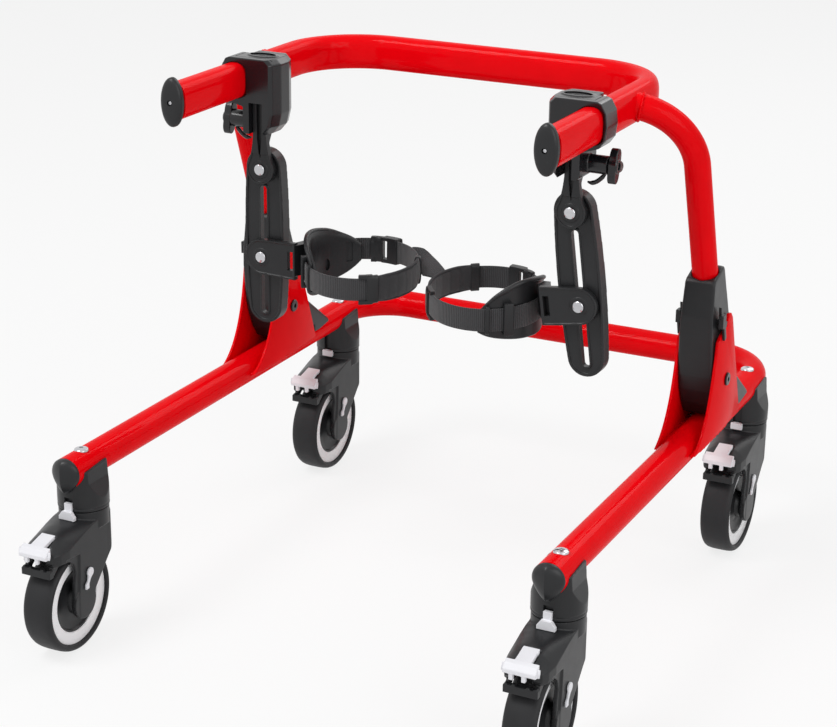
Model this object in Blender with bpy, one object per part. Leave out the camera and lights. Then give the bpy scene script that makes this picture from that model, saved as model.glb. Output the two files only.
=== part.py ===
"""Gait trainer: a low frame on four swivel casters, a folding handle frame on two
telescopic uprights, and two adjustable ankle guides that hang from the handles.

All sizes are in metres. +X is the right-hand side, +Y is the rear, +Z is up. The part
stands on the floor, z = 0, with the middle of its box over the origin. The pieces are
laid out in the rail frame, whose origin lies midway between the front ends of the two
rails, at the height of their axes.
"""
import math

import bmesh
import bpy
from mathutils import Matrix, Vector

# Lower frame: one tube bent to a U, open at the front
TRACK_WIDTH = 0.485
RAIL_LENGTH = 0.600
RAIL_DIAMETER = 0.030
RAIL_WALL = 0.002
LOWER_BEND_RADIUS = 0.060
FRONT_STEM_INSET = 0.025
REAR_STEM_INSET = 0.068

# Handle frame: one flat-sided tube bent to a U, with a round upright welded to each side
HANDLE_SPACING = 0.367
HANDLE_RISE = 0.3355
HANDLE_LENGTH = 0.293
CROSSBAR_SETBACK = 0.027
UPPER_BEND_RADIUS = 0.072
HANDLE_TUBE_HEIGHT = 0.034
HANDLE_TUBE_WIDTH = 0.024
HANDLE_WALL = 0.002
CAP_WIDTH = 0.0225
CAP_HEIGHT = 0.0458
UPRIGHT_DIAMETER = 0.025
UPRIGHT_LEAN = math.radians(20.1)
UPRIGHT_INSET = 0.170
UPRIGHT_INSERTION = 0.100
SHOULDER_SETBACK = 0.133
SHOULDER_CORNER_RISE = 0.326

# Fold joint: two plates on each rail, with the housing of the upright between them
PIVOT_RISE = 0.0535
PIVOT_BOLT_DIAMETER = 0.008
PIVOT_HEAD_DIAMETER = 0.013
PIVOT_HEAD_HEIGHT = 0.002
PLATE_THICKNESS = 0.003
HOUSING_WIDTH = 0.035
HOUSING_TOP = 0.177
HOUSING_REAR = 0.0165
HOUSING_BORE_FLOOR = 0.020
LOBE_RADIUS = 0.057
PLATE_PEAK_RISE = 0.068
PLATE_FOOT = 0.001

# Casters
WHEEL_DIAMETER = 0.102
WHEEL_FACETS = 24
TYRE_WIDTH = 0.031
TREAD_WIDTH = 0.017
TYRE_DEPTH = 0.0072
RING_BREADTH = 0.0123
RIM_WIDTH = 0.0234
HUB_DIAMETER = 0.024
HUB_WIDTH = 0.0312
AXLE_DIAMETER = 0.008
AXLE_DROP = 0.123
TRAIL = 0.0335
SOCKET_DIAMETER = 0.049
SOCKET_DROP = 0.0365
SOCKET_FLAP_RISE = 0.006
STEM_DIAMETER = 0.012
COLLAR_HEIGHT = 0.0075
FORK_WIDTH = 0.044
NOSE_SETBACK = 0.0015
FORK_INNER_WIDTH = 0.0325
WELL_CLEARANCE = 0.004
LEG_BOSS_RADIUS = 0.016
BOLT_DIAMETER = 0.008
BOLT_HEAD_DIAMETER = 0.014
BOLT_HEAD_HEIGHT = 0.003
BOLT_LENGTH = 0.017
LOCK_DEPTH = 0.0035
LOCK_HALF_WIDTH = 0.0040
LOCK_HEIGHT = 0.009
LOCK_TRAVEL = 0.004
PEDAL_SETBACK = 0.023
PEDAL_DROP = 0.053
PEDAL_SEAT_HALF_WIDTH = 0.015
PEDAL_SEAT_DEPTH = 0.031
LEVER_DROP = 0.1085
PIN_DIAMETER = 0.0036

# Ankle guides
CLAMP_LENGTH = 0.042
CLAMP_SHIFT = 0.006
CLAMP_INSET = 0.120
CLAMP_BAND = 0.005
CLAMP_DEPTH = 0.0505
CLAMP_REACH = 0.044
ARM_OFFSET = 0.0228
ARM_WIDTH = 0.014
ARM_DEPTH = 0.0142
ARM_EYE_RADIUS = 0.0145
ARM_EYE_THICKNESS = 0.0065
ARM_BACK = 0.0057
ARM_TOP_DROP = 0.0205
EYE_DROP = 0.086
BAR_LENGTH = 0.1565
BAR_THICKNESS = 0.0137
BAR_TOP_WIDTH = 0.0375
BAR_MIDDLE_WIDTH = 0.042
BAR_FOOT_WIDTH = 0.036
SLOT_WIDTH = 0.007
SLOT_TOP_DROP = 0.0210
SLOT_FOOT = 0.013
RIVET_DIAMETER = 0.0064
RIVET_HEAD_DIAMETER = 0.011
SLOT_RIVET_PLACE = 0.0875
RIGHT_BAR_TILT = math.radians(7.5)
BRACKET_RADIUS = 0.0175
BRACKET_REACH = 0.0375
RIGHT_BRACKET_TILT = math.radians(8.0)
LOOP_REACH = {"left": 0.0995, "right": 0.1025}
LOOP_HALF_WIDTH = 0.0550
LOOP_HALF_DEPTH = 0.0515
LOOP_SETBACK = {"left": 0.013, "right": 0.017}
LOOP_RISE = {"left": 0.003, "right": -0.0085}
CUP_TURN = {"left": math.radians(31.0), "right": math.radians(46.0)}
CUP_THICKNESS = 0.0035
CUP_LIP = 0.0025
CUP_LIP_RISE = 0.015
CUP_RIM = [(-95, -0.012, 0.005), (-87, -0.019, 0.0105), (-76, -0.0255, 0.0155), (-62, -0.0300, 0.0200),
           (-46, -0.0320, 0.0232), (-31, -0.0320, 0.0250), (-15, -0.0315, 0.0245), (-2, -0.0305, 0.0205),
           (12, -0.0290, 0.0130), (22, -0.0270, 0.0045), (30, -0.0240, -0.0040)]
STRAP_WIDTH = 0.022
STRAP_THICKNESS = 0.0024
STRAP_DROP = 0.006
STRAP_SLOPE = 0.10
SLEEVE_WIDTH = 0.025
SLEEVE_THICKNESS = 0.0060
SLEEVE_START = {"left": math.radians(113.0), "right": math.radians(148.0)}
SLEEVE_SPREAD = math.radians(88.0)
BUCKLE_WIDTH = 0.026
BUCKLE_THICKNESS = 0.0070
BUCKLE_SPREAD = math.radians(32.0)
KNOB_DROP = 0.0400
KNOB_DIAMETER = 0.032
KNOB_WAIST = 0.0068
KNOB_LEAN = math.radians(14.0)

# Clearances between neighbours
SEAT_GAP = 0.0003
RUNNING_GAP = 0.0006
SIDE_GAP = 0.0005

# Values that follow from the sizes above
RAIL_RADIUS = RAIL_DIAMETER / 2
HALF_TRACK = TRACK_WIDTH / 2
HALF_HANDLE = HANDLE_SPACING / 2
UPRIGHT_RADIUS = UPRIGHT_DIAMETER / 2
WHEEL_RADIUS = WHEEL_DIAMETER / 2
RAIL_RISE = AXLE_DROP + WHEEL_RADIUS
FRONT_REACH = TRAIL + WHEEL_RADIUS - FRONT_STEM_INSET
REAR_REACH = RAIL_LENGTH + RAIL_RADIUS
FRONT_STEM_Y = FRONT_STEM_INSET
REAR_STEM_Y = RAIL_LENGTH - REAR_STEM_INSET
UPRIGHT_FOOT = RAIL_LENGTH - UPRIGHT_INSET
SHOULDER_DEPTH = UPRIGHT_FOOT - SHOULDER_SETBACK
CROSSBAR_REAR = UPRIGHT_FOOT - CROSSBAR_SETBACK
HANDLE_FRONT = CROSSBAR_REAR - HANDLE_LENGTH
CLAMP_PLACE = HANDLE_FRONT + CLAMP_INSET
TYRE_INNER_DIAMETER = WHEEL_DIAMETER - 2 * TYRE_DEPTH
RING_INNER_DIAMETER = TYRE_INNER_DIAMETER - 2 * RING_BREADTH
WELL_RADIUS = WHEEL_RADIUS + WELL_CLEARANCE
FORK_REACH = TRAIL + WHEEL_RADIUS - NOSE_SETBACK
PEDAL_REACH = FORK_REACH - PEDAL_SETBACK
PLATE_INNER = HOUSING_WIDTH / 2 + SIDE_GAP
PLATE_OUTER = PLATE_INNER + PLATE_THICKNESS


def lean_point(along, across):
    """(y, z) of a point given along the upright's axis and square to it, rearward."""
    y = UPRIGHT_FOOT - along * math.sin(UPRIGHT_LEAN) + across * math.cos(UPRIGHT_LEAN)
    z = along * math.cos(UPRIGHT_LEAN) + across * math.sin(UPRIGHT_LEAN)
    return y, z


PIVOT_OFFSET = UPRIGHT_RADIUS + PIVOT_BOLT_DIAMETER / 2 + 0.001
PIVOT_ALONG = (PIVOT_RISE + PIVOT_OFFSET * math.sin(UPRIGHT_LEAN)) / math.cos(UPRIGHT_LEAN)
PIVOT_Y, PIVOT_Z = lean_point(PIVOT_ALONG, -PIVOT_OFFSET)
LATCH_Y, LATCH_Z = lean_point(0.132, -0.017)

SIDES = {"left": -1, "right": 1}
CORNERS = {"front_left": (-1, FRONT_STEM_Y), "front_right": (1, FRONT_STEM_Y),
           "rear_left": (-1, REAR_STEM_Y), "rear_right": (1, REAR_STEM_Y)}


# Materials
def material(name, colour, roughness, metallic=0.0):
    """A plain Principled material."""
    made = bpy.data.materials.new(name)
    made.use_nodes = True
    shader = made.node_tree.nodes["Principled BSDF"]
    shader.inputs["Base Color"].default_value = (*colour, 1.0)
    shader.inputs["Roughness"].default_value = roughness
    shader.inputs["Metallic"].default_value = metallic
    return made


def clear_scene():
    for item in list(bpy.data.objects):
        bpy.data.objects.remove(item, do_unlink=True)


# Shapes
def circle(radius, count):
    """Points of a circle, the first one at angle 0."""
    step = 2 * math.pi / count
    return [(radius * math.cos(i * step), radius * math.sin(i * step)) for i in range(count)]


def arc(centre, radius, start, end, steps):
    """Points of an arc in a plane, with angles in degrees."""
    points = []
    for i in range(steps + 1):
        angle = math.radians(start + (end - start) * i / steps)
        points.append((centre[0] + radius * math.cos(angle), centre[1] + radius * math.sin(angle)))
    return points


def curve_between(start, control, end, steps):
    """Points of a quadratic curve in a plane, without its first point."""
    points = []
    for i in range(1, steps + 1):
        t = i / steps
        points.append(tuple((1 - t) ** 2 * a + 2 * t * (1 - t) * b + t * t * c
                            for a, b, c in zip(start, control, end)))
    return points


def flat_sided(width, height, count):
    """Section of a round tube of the given height, pressed flat on two sides."""
    half = width / 2
    return [(max(-half, min(half, x)), y) for x, y in circle(height / 2, count)]


def loft(rings):
    """Closed solid through rings that have the same number of points."""
    mesh = bmesh.new()
    loops = [[mesh.verts.new(point) for point in ring] for ring in rings]
    count = len(loops[0])
    for near, far in zip(loops, loops[1:]):
        for i in range(count):
            j = (i + 1) % count
            mesh.faces.new((near[i], near[j], far[j], far[i]))
    mesh.faces.new(loops[0])
    mesh.faces.new(loops[-1])
    bmesh.ops.recalc_face_normals(mesh, faces=mesh.faces)
    return mesh


def sweep(path, section, up):
    """Closed solid of a section carried along a path. Its second axis stays near up."""
    points = [Vector(point) for point in path]
    rings = []
    for i, point in enumerate(points):
        before = points[max(i - 1, 0)]
        after = points[min(i + 1, len(points) - 1)]
        if 0 < i < len(points) - 1:
            tangent = (point - before).normalized() + (after - point).normalized()
        else:
            tangent = after - before
        tangent.normalize()
        side = tangent.cross(up).normalized()
        lift = side.cross(tangent)
        rings.append([point + side * a + lift * b for a, b in section])
    return loft(rings)


def rod(start, end, radius, count=16):
    """A straight round bar between two points."""
    direction = Vector(end) - Vector(start)
    up = Vector((0, 0, 1)) if abs(direction.z) < 0.9 * direction.length else Vector((0, 1, 0))
    return sweep([start, end], circle(radius, count), up)


def prism(outline, axis, low, high):
    """An outline in the plane square to an axis, extruded between two places on it."""
    places = {"X": lambda a, b: (low, a, b), "Y": lambda a, b: (a, low, b), "Z": lambda a, b: (a, b, low)}
    push = {"X": (high - low, 0, 0), "Y": (0, high - low, 0), "Z": (0, 0, high - low)}
    mesh = bmesh.new()
    face = mesh.faces.new([mesh.verts.new(places[axis](a, b)) for a, b in outline])
    grown = bmesh.ops.extrude_face_region(mesh, geom=[face])["geom"]
    moved = [item for item in grown if isinstance(item, bmesh.types.BMVert)]
    bmesh.ops.translate(mesh, verts=moved, vec=push[axis])
    bmesh.ops.recalc_face_normals(mesh, faces=mesh.faces)
    return mesh


def block(low, high):
    """A box between two corners."""
    outline = [(low[0], low[1]), (high[0], low[1]), (high[0], high[1]), (low[0], high[1])]
    return prism(outline, "Z", low[2], high[2])


def turned(profile, axis, steps):
    """A profile of (radius, place) points turned about an axis through the origin."""
    along = {"X": Vector((1, 0, 0)), "Y": Vector((0, 1, 0)), "Z": Vector((0, 0, 1))}[axis]
    out = {"X": Vector((0, 0, 1)), "Y": Vector((0, 0, 1)), "Z": Vector((0, 1, 0))}[axis]
    mesh = bmesh.new()
    corners = [mesh.verts.new(out * radius + along * place) for radius, place in profile]
    edges = [mesh.edges.new(pair) for pair in zip(corners, corners[1:])]
    if profile[0][0] > 0 or profile[-1][0] > 0:
        edges.append(mesh.edges.new((corners[-1], corners[0])))
    bmesh.ops.spin(mesh, geom=corners + edges, cent=(0, 0, 0), axis=along, angle=2 * math.pi,
                   steps=steps, use_merge=True)
    bmesh.ops.remove_doubles(mesh, verts=mesh.verts, dist=1e-6)
    bmesh.ops.recalc_face_normals(mesh, faces=mesh.faces)
    return mesh


def shifted(mesh, offset):
    """The mesh moved by an offset."""
    bmesh.ops.translate(mesh, verts=mesh.verts, vec=offset)
    return mesh


def spun(mesh, axis, angle):
    """The mesh turned about an axis through the origin."""
    bmesh.ops.rotate(mesh, verts=mesh.verts, cent=(0, 0, 0), matrix=Matrix.Rotation(angle, 3, axis))
    return mesh


def mirrored(mesh, side):
    """The mesh of a right-hand piece, or its mirror image for the left-hand side."""
    if side < 0:
        bmesh.ops.scale(mesh, verts=mesh.verts, vec=(-1, 1, 1))
        bmesh.ops.reverse_faces(mesh, faces=mesh.faces)
    return mesh


def soften(mesh, width, chosen, segments=2):
    """Rounds the edges that a test chooses."""
    edges = [edge for edge in mesh.edges if chosen(edge)]
    bmesh.ops.bevel(mesh, geom=edges, offset=width, segments=segments, profile=0.5,
                    affect="EDGES", clamp_overlap=True)
    return mesh


def join(*meshes):
    """One mesh of several shapes that don't touch, or that a Boolean merges."""
    whole = bmesh.new()
    for mesh in meshes:
        part = bpy.data.meshes.new("shape")
        mesh.to_mesh(part)
        mesh.free()
        whole.from_mesh(part)
        bpy.data.meshes.remove(part)
    return whole


# Objects
def solid(name, mesh, finish, place=(0, 0, 0), parent=None):
    """An object of its own, smooth but for its sharp edges."""
    data = bpy.data.meshes.new(name)
    mesh.to_mesh(data)
    mesh.free()
    data.shade_smooth()
    data.set_sharp_from_angle(angle=math.radians(35))
    data.materials.append(finish)
    item = bpy.data.objects.new(name, data)
    bpy.context.collection.objects.link(item)
    item.location = place
    item.parent = parent
    return item


def empty(name, place, parent=None):
    """A joint's frame."""
    item = bpy.data.objects.new(name, None)
    bpy.context.collection.objects.link(item)
    item.location = place
    item.parent = parent
    return item


def combine(item, mesh, operation):
    """Adds, cuts or keeps a shape, given in the object's own frame."""
    tool = solid(item.name + "_tool", mesh, item.data.materials[0], parent=item)
    tool.hide_render = True
    tool.display_type = "WIRE"
    tool.hide_set(True)
    step = item.modifiers.new(operation.lower(), "BOOLEAN")
    step.operation = operation
    step.solver = "EXACT"
    step.use_self = operation == "UNION"
    step.object = tool


def add(item, mesh):
    combine(item, mesh, "UNION")


def cut(item, mesh):
    combine(item, mesh, "DIFFERENCE")


# Lower frame
def lower_path():
    """Centre line of the lower tube, from the left front end to the right one."""
    bend = LOWER_BEND_RADIUS
    rear = RAIL_LENGTH - bend
    left = arc((-HALF_TRACK + bend, rear), bend, 180, 90, 6)
    right = arc((HALF_TRACK - bend, rear), bend, 90, 0, 6)
    flat = [(-HALF_TRACK, 0)] + left + right + [(HALF_TRACK, 0)]
    return [(x, y, 0) for x, y in flat]


def fold_plate_outline():
    """Side view of one fold plate: a long foot on the rail, a lobe and a stop behind it."""
    tip = (PIVOT_Y - 0.084, PLATE_FOOT)
    lobe_start = math.degrees(math.acos(-0.0323 / LOBE_RADIUS))
    step_angle = math.degrees(math.acos(-0.0078 / LOBE_RADIUS))
    lobe = arc((PIVOT_Y, PIVOT_Z), LOBE_RADIUS, lobe_start, step_angle, 4)
    front = curve_between(tip, (PIVOT_Y - 0.042, 0.019), lobe[0], 7)
    peak = PIVOT_Z + PLATE_PEAK_RISE
    rear_offset = UPRIGHT_RADIUS - 0.0002
    rear_top = lean_point(0.1175, rear_offset)
    rear_low = lean_point(-0.0020, rear_offset)
    stop = [(lobe[-1][0] + 0.0020, peak - 0.0025), (lobe[-1][0] + 0.0050, peak),
            (lobe[-1][0] + 0.0115, peak - 0.0010)]
    return [tip] + front[:-1] + lobe + stop + [rear_top, rear_low]


def lower_frame(finish, root):
    """The bent tube with its four fold plates, bored for the plugs, bolts and pivots."""
    frame = solid("lower_frame", sweep(lower_path(), circle(RAIL_RADIUS, 16), Vector((0, 0, 1))), finish,
                  parent=root)
    outline = fold_plate_outline()
    plates = []
    welds = []
    holes = []
    bead = [(PIVOT_Y - 0.079, -0.0010), (PIVOT_Y + 0.040, -0.0010), (PIVOT_Y + 0.040, 0.0040),
            (PIVOT_Y - 0.073, 0.0040)]
    for side in (-1, 1):
        for face in (-1, 1):
            near = side * HALF_TRACK + face * PLATE_INNER
            far = side * HALF_TRACK + face * PLATE_OUTER
            plates.append(prism(outline, "X", min(near, far), max(near, far)))
            root_line = side * HALF_TRACK + face * (RAIL_RADIUS - RAIL_WALL / 2)
            seam = side * HALF_TRACK + face * (PLATE_INNER + PLATE_THICKNESS / 2)
            welds.append(prism(bead, "X", min(root_line, seam), max(root_line, seam)))
        axis = side * HALF_TRACK
        reach = PLATE_OUTER + 0.005
        holes.append(rod((axis - reach, PIVOT_Y, PIVOT_Z), (axis + reach, PIVOT_Y, PIVOT_Z),
                         PIVOT_BOLT_DIAMETER / 2 + SEAT_GAP))
        holes.append(rod((axis, -0.010, 0), (axis, 0.020, 0), RAIL_RADIUS - RAIL_WALL))
        for stem in (FRONT_STEM_Y, REAR_STEM_Y):
            holes.append(rod((axis, stem, -0.030), (axis, stem, 0.030), BOLT_DIAMETER / 2 + SEAT_GAP, 12))
    add(frame, join(*plates))
    add(frame, join(*welds))
    cut(frame, join(*holes))
    return frame


def rail_plug(name, side, finish, root):
    """Domed plug with a beak that hangs over the front of the caster socket."""
    rings = []
    stem = RAIL_RADIUS - RAIL_WALL - SEAT_GAP
    dome = [(-0.0003, 1.0), (-0.003, 1.0), (-0.0065, 0.90), (-0.0095, 0.66), (-0.0110, 0.30)]
    for y in (0.018, -0.0003):
        rings.append([(x, y, z) for x, z in circle(stem, 16)])
    for y, share in dome:
        ring = []
        for x, z in circle(RAIL_RADIUS * share, 16):
            beak = 1.0 + 0.30 * max(0.0, -z / RAIL_RADIUS) ** 2
            ring.append((x * (1 - 0.25 * max(0.0, -z / RAIL_RADIUS) ** 2), y, z * beak))
        rings.append(ring)
    return solid(name, loft(rings), finish, (side * HALF_TRACK, 0, 0), root)


# Casters
def caster_socket(name, side, stem_y, finish, root):
    """Socket that hugs the rail from below, with a bore for the fork's stem."""
    radius = SOCKET_DIAMETER / 2
    profile = [(0, -SOCKET_DROP), (radius, -SOCKET_DROP),
               (radius, -0.008), (radius - 0.0025, -0.001), (radius - 0.007, SOCKET_FLAP_RISE),
               (0, SOCKET_FLAP_RISE)]
    socket = solid(name, turned(profile, "Z", 20), finish, (side * HALF_TRACK, stem_y, 0), root)
    path = [(x - side * HALF_TRACK, y - stem_y, z) for x, y, z in lower_path()]
    cut(socket, sweep(path, circle(RAIL_RADIUS + SEAT_GAP, 16), Vector((0, 0, 1))))
    bore = rod((0, 0, -SOCKET_DROP - 0.01), (0, 0, -BOLT_LENGTH - SEAT_GAP - 0.003), STEM_DIAMETER / 2 + SEAT_GAP, 12)
    bolt_hole = rod((0, 0, -BOLT_LENGTH - 0.006), (0, 0, 0), BOLT_DIAMETER / 2 + SEAT_GAP, 12)
    slot_half = LOCK_HALF_WIDTH + SIDE_GAP
    slot_top = -SOCKET_DROP + LOCK_HEIGHT + LOCK_TRAVEL + SIDE_GAP
    slot = block((-slot_half, -radius - 0.01, -SOCKET_DROP - 0.01), (slot_half, -radius + LOCK_DEPTH, slot_top))
    cut(socket, bore)
    cut(socket, join(bolt_hole, slot))
    return socket


def mounting_bolt(name, side, stem_y, finish, root):
    """Low round head on top of the rail, with a shank down into the socket."""
    head = BOLT_HEAD_DIAMETER / 2
    shank = BOLT_DIAMETER / 2
    seat = RAIL_RADIUS + SEAT_GAP
    profile = [(0, -BOLT_LENGTH), (shank, -BOLT_LENGTH), (shank, seat), (head, seat),
               (head, seat + 0.0008), (head * 0.72, seat + BOLT_HEAD_HEIGHT * 0.8), (0, seat + BOLT_HEAD_HEIGHT)]
    return solid(name, turned(profile, "Z", 12), finish, (side * HALF_TRACK, stem_y, 0), root)


def swivel_lock(name, side, stem_y, footed, finish, root):
    """Tab that slides in the socket's front slot. The front casters' tabs end in a wide foot."""
    face = SOCKET_DIAMETER / 2
    top = -SOCKET_DROP + LOCK_HEIGHT
    low = -SOCKET_DROP - (COLLAR_HEIGHT - SEAT_GAP if footed else 0.006)
    back = -face + LOCK_DEPTH - SEAT_GAP
    tab = block((-LOCK_HALF_WIDTH, -face - 0.0012, -SOCKET_DROP + SEAT_GAP), (LOCK_HALF_WIDTH, back, top))
    lock = solid(name, tab, finish, (side * HALF_TRACK, stem_y, 0), root)
    half = 0.0085 if footed else 0.0055
    shape = [(-half, low), (half, low), (half, low + 0.003), (LOCK_HALF_WIDTH, -SOCKET_DROP + 0.0015),
             (-LOCK_HALF_WIDTH, -SOCKET_DROP + 0.0015), (-half, low + 0.003)]
    add(lock, prism(shape, "Y", -face - 0.0030, -face - 0.0004))
    return lock


def fork_side_outline():
    """Side view of the fork: a shroud over the wheel and a leg down to the axle."""
    deck = -SOCKET_DROP - COLLAR_HEIGHT
    axle = (-TRAIL, -AXLE_DROP)
    rear = [(0.0240, deck), (0.0205, deck - 0.014), (0.0130, deck - 0.029), (-0.0010, deck - 0.053)]
    boss = arc(axle, LEG_BOSS_RADIUS, 20, -200, 8)
    nose = -FORK_REACH
    front = [(-0.0475, deck - 0.056), (-0.0450, deck - 0.042), (-0.0510, deck - 0.030),
             (nose + 0.021, deck - 0.0245), (nose + 0.009, deck - 0.0270), (nose + 0.007, deck - 0.0385),
             (nose - 0.001, deck - 0.0395), (nose - 0.001, deck - 0.0225),
             (nose + 0.005, deck - 0.0190), (nose + 0.013, deck - 0.0100), (nose + 0.021, deck - 0.0045),
             (-0.0200, deck)]
    return rear + boss + front


def fork_plan_outline():
    """Plan of the fork: round behind the stem, and a blunt nose in front."""
    half = FORK_WIDTH / 2
    rear = arc((0, 0), SOCKET_DIAMETER / 2, 25, 155, 8)
    nose = FORK_REACH
    return rear + [(-half, 0.004), (-half, -nose + 0.022), (-half + 0.0025, -nose + 0.010), (-half + 0.009, -nose + 0.002),
                   (-half + 0.015, -nose), (half - 0.015, -nose), (half - 0.009, -nose + 0.002),
                   (half - 0.0025, -nose + 0.010), (half, -nose + 0.022), (half, 0.004)]


def fork(name, corner, finish, frame):
    """Fork with its swivel stem and the axle of the wheel."""
    deck = -SOCKET_DROP - COLLAR_HEIGHT
    half = FORK_WIDTH / 2
    item = solid(name, prism(fork_side_outline(), "X", -half - 0.003, half + 0.003), finish, parent=frame)
    combine(item, prism(fork_plan_outline(), "Z", -0.160, 0.0), "INTERSECT")
    brow = [(-half - 0.001, -0.150), (half + 0.001, -0.150), (half + 0.001, deck - 0.0120), (0.0160, deck + 0.001),
            (-0.0160, deck + 0.001), (-half - 0.001, deck - 0.0120)]
    combine(item, prism(brow, "Y", -0.100, 0.050), "INTERSECT")
    inner = FORK_INNER_WIDTH / 2
    well = [(y - TRAIL, z - AXLE_DROP) for y, z in circle(WELL_RADIUS, 24)]
    cut(item, prism(well, "X", -inner, inner))
    radius = SOCKET_DIAMETER / 2 - 0.0006
    top = -SOCKET_DROP - RUNNING_GAP
    pin_top = -BOLT_LENGTH - 0.0045
    add(item, rod((0, 0, deck - 0.010), (0, 0, top), radius, 20))
    add(item, rod((0, 0, deck - 0.005), (0, 0, pin_top), STEM_DIAMETER / 2, 12))
    reach = half - 0.001
    add(item, rod((-reach, -TRAIL, -AXLE_DROP), (reach, -TRAIL, -AXLE_DROP), AXLE_DIAMETER / 2, 12))
    seat = PEDAL_SEAT_HALF_WIDTH
    pedal_seat = block((-seat, -FORK_REACH - 0.01, deck - PEDAL_SEAT_DEPTH), (seat, -PEDAL_REACH + 0.0035, deck + 0.004))
    lever_hole = rod((inner + 0.0030, -TRAIL, -LEVER_DROP), (half + 0.01, -TRAIL, -LEVER_DROP),
                     PIN_DIAMETER / 2 + SEAT_GAP, 8)
    cut(item, pedal_seat)
    cut(item, lever_hole)
    if corner.startswith("front"):
        cut(item, block((-0.0105, -0.035, deck - 0.0012), (0.0105, -0.0205, top + 0.001)))
    return item


def brake_pedal(name, finish, frame):
    """T-shaped pedal on the nose of the fork, hinged at its rear end."""
    tab = prism([(0.0028, 0.0030), (-0.0100, -0.0020), (-0.0225, -0.0100), (-0.0228, -0.0135),
                 (-0.0100, -0.0075), (0.0028, -0.0030)], "X", -0.0065, 0.0065)
    pedal = solid(name, tab, finish, (0, -PEDAL_REACH, -PEDAL_DROP), frame)
    bar = prism([(-0.0100, -0.0018), (-0.0220, -0.0095), (-0.0236, -0.0138), (-0.0200, -0.0138),
                 (-0.0100, -0.0078)], "X", -0.0130, 0.0130)
    feet = [block((x - 0.0022, -0.0215, -0.0165), (x + 0.0022, -0.0175, -0.0100)) for x in (-0.0065, 0.0065)]
    pin = PEDAL_SEAT_HALF_WIDTH - SIDE_GAP
    pins = rod((-pin, 0, 0), (pin, 0, 0), PIN_DIAMETER / 2, 8)
    add(pedal, bar)
    add(pedal, join(*feet, pins))
    return pedal


def side_lever(name, finish, frame):
    """Small lever on the fork's right-hand leg, turning on a pin at its lower end."""
    face = FORK_WIDTH / 2 + SEAT_GAP
    outline = arc((0.0085, 0.0165), 0.0036, -30, 150, 5) + arc((0, 0), 0.0026, 165, 345, 4)
    lever = prism(outline, "X", face, face + 0.0021)
    item = solid(name, lever, finish, (0, -TRAIL, -LEVER_DROP), frame)
    add(item, rod((face - 0.0025, 0, 0), (face + 0.0010, 0, 0), PIN_DIAMETER / 2, 8))
    return item


def wheel_rim(name, finish, frame):
    """Wheel core: a dished hub and a broad flat ring on each side."""
    half = RIM_WIDTH / 2
    hub = HUB_WIDTH / 2
    ring = RING_INNER_DIAMETER / 2
    rim = TYRE_INNER_DIAMETER / 2 - SEAT_GAP
    bore = AXLE_DIAMETER / 2 + SEAT_GAP
    right = [(bore, hub), (HUB_DIAMETER / 2, hub), (ring - 0.001, half - 0.0035), (ring, half), (rim, half)]
    left = [(radius, -place) for radius, place in reversed(right)]
    return solid(name, turned(right + left, "X", WHEEL_FACETS), finish, parent=frame)


def tyre(name, finish, frame):
    """Round-shouldered solid tyre."""
    inner = TYRE_INNER_DIAMETER / 2
    half = TYRE_WIDTH / 2
    right = [(inner, half - 0.0025), (inner + 0.0030, half), (WHEEL_RADIUS, TREAD_WIDTH / 2)]
    left = [(radius, -place) for radius, place in reversed(right)]
    return solid(name, turned(right + left, "X", WHEEL_FACETS), finish, parent=frame)


# Fold joint
def housing_outline():
    """Side view of the upright's housing, with a heel that rests on the rail."""
    top_rear = lean_point(HOUSING_TOP, HOUSING_REAR)
    waist = lean_point(0.046, HOUSING_REAR)
    seat = RAIL_RADIUS + SIDE_GAP
    wedge = [(PIVOT_Y + 0.086, 0.0135), (PIVOT_Y + 0.087, 0.0095), (PIVOT_Y + 0.064, 0.0060),
             (PIVOT_Y + 0.053, 0.0060), (PIVOT_Y + 0.053, seat)]
    heel = arc((PIVOT_Y, PIVOT_Z), PIVOT_Z - seat, 270, 250, 2)
    front = [(0.0500, -0.0465), (0.0680, -0.0480), (0.0850, -0.0465), (0.1050, -0.0425), (0.1250, -0.0385),
             (0.1450, -0.0315), (0.1580, -0.0240), (0.1700, -0.0178), (HOUSING_TOP, -0.0165)]
    return [top_rear, waist] + wedge + heel + [lean_point(a, b) for a, b in front]


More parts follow.
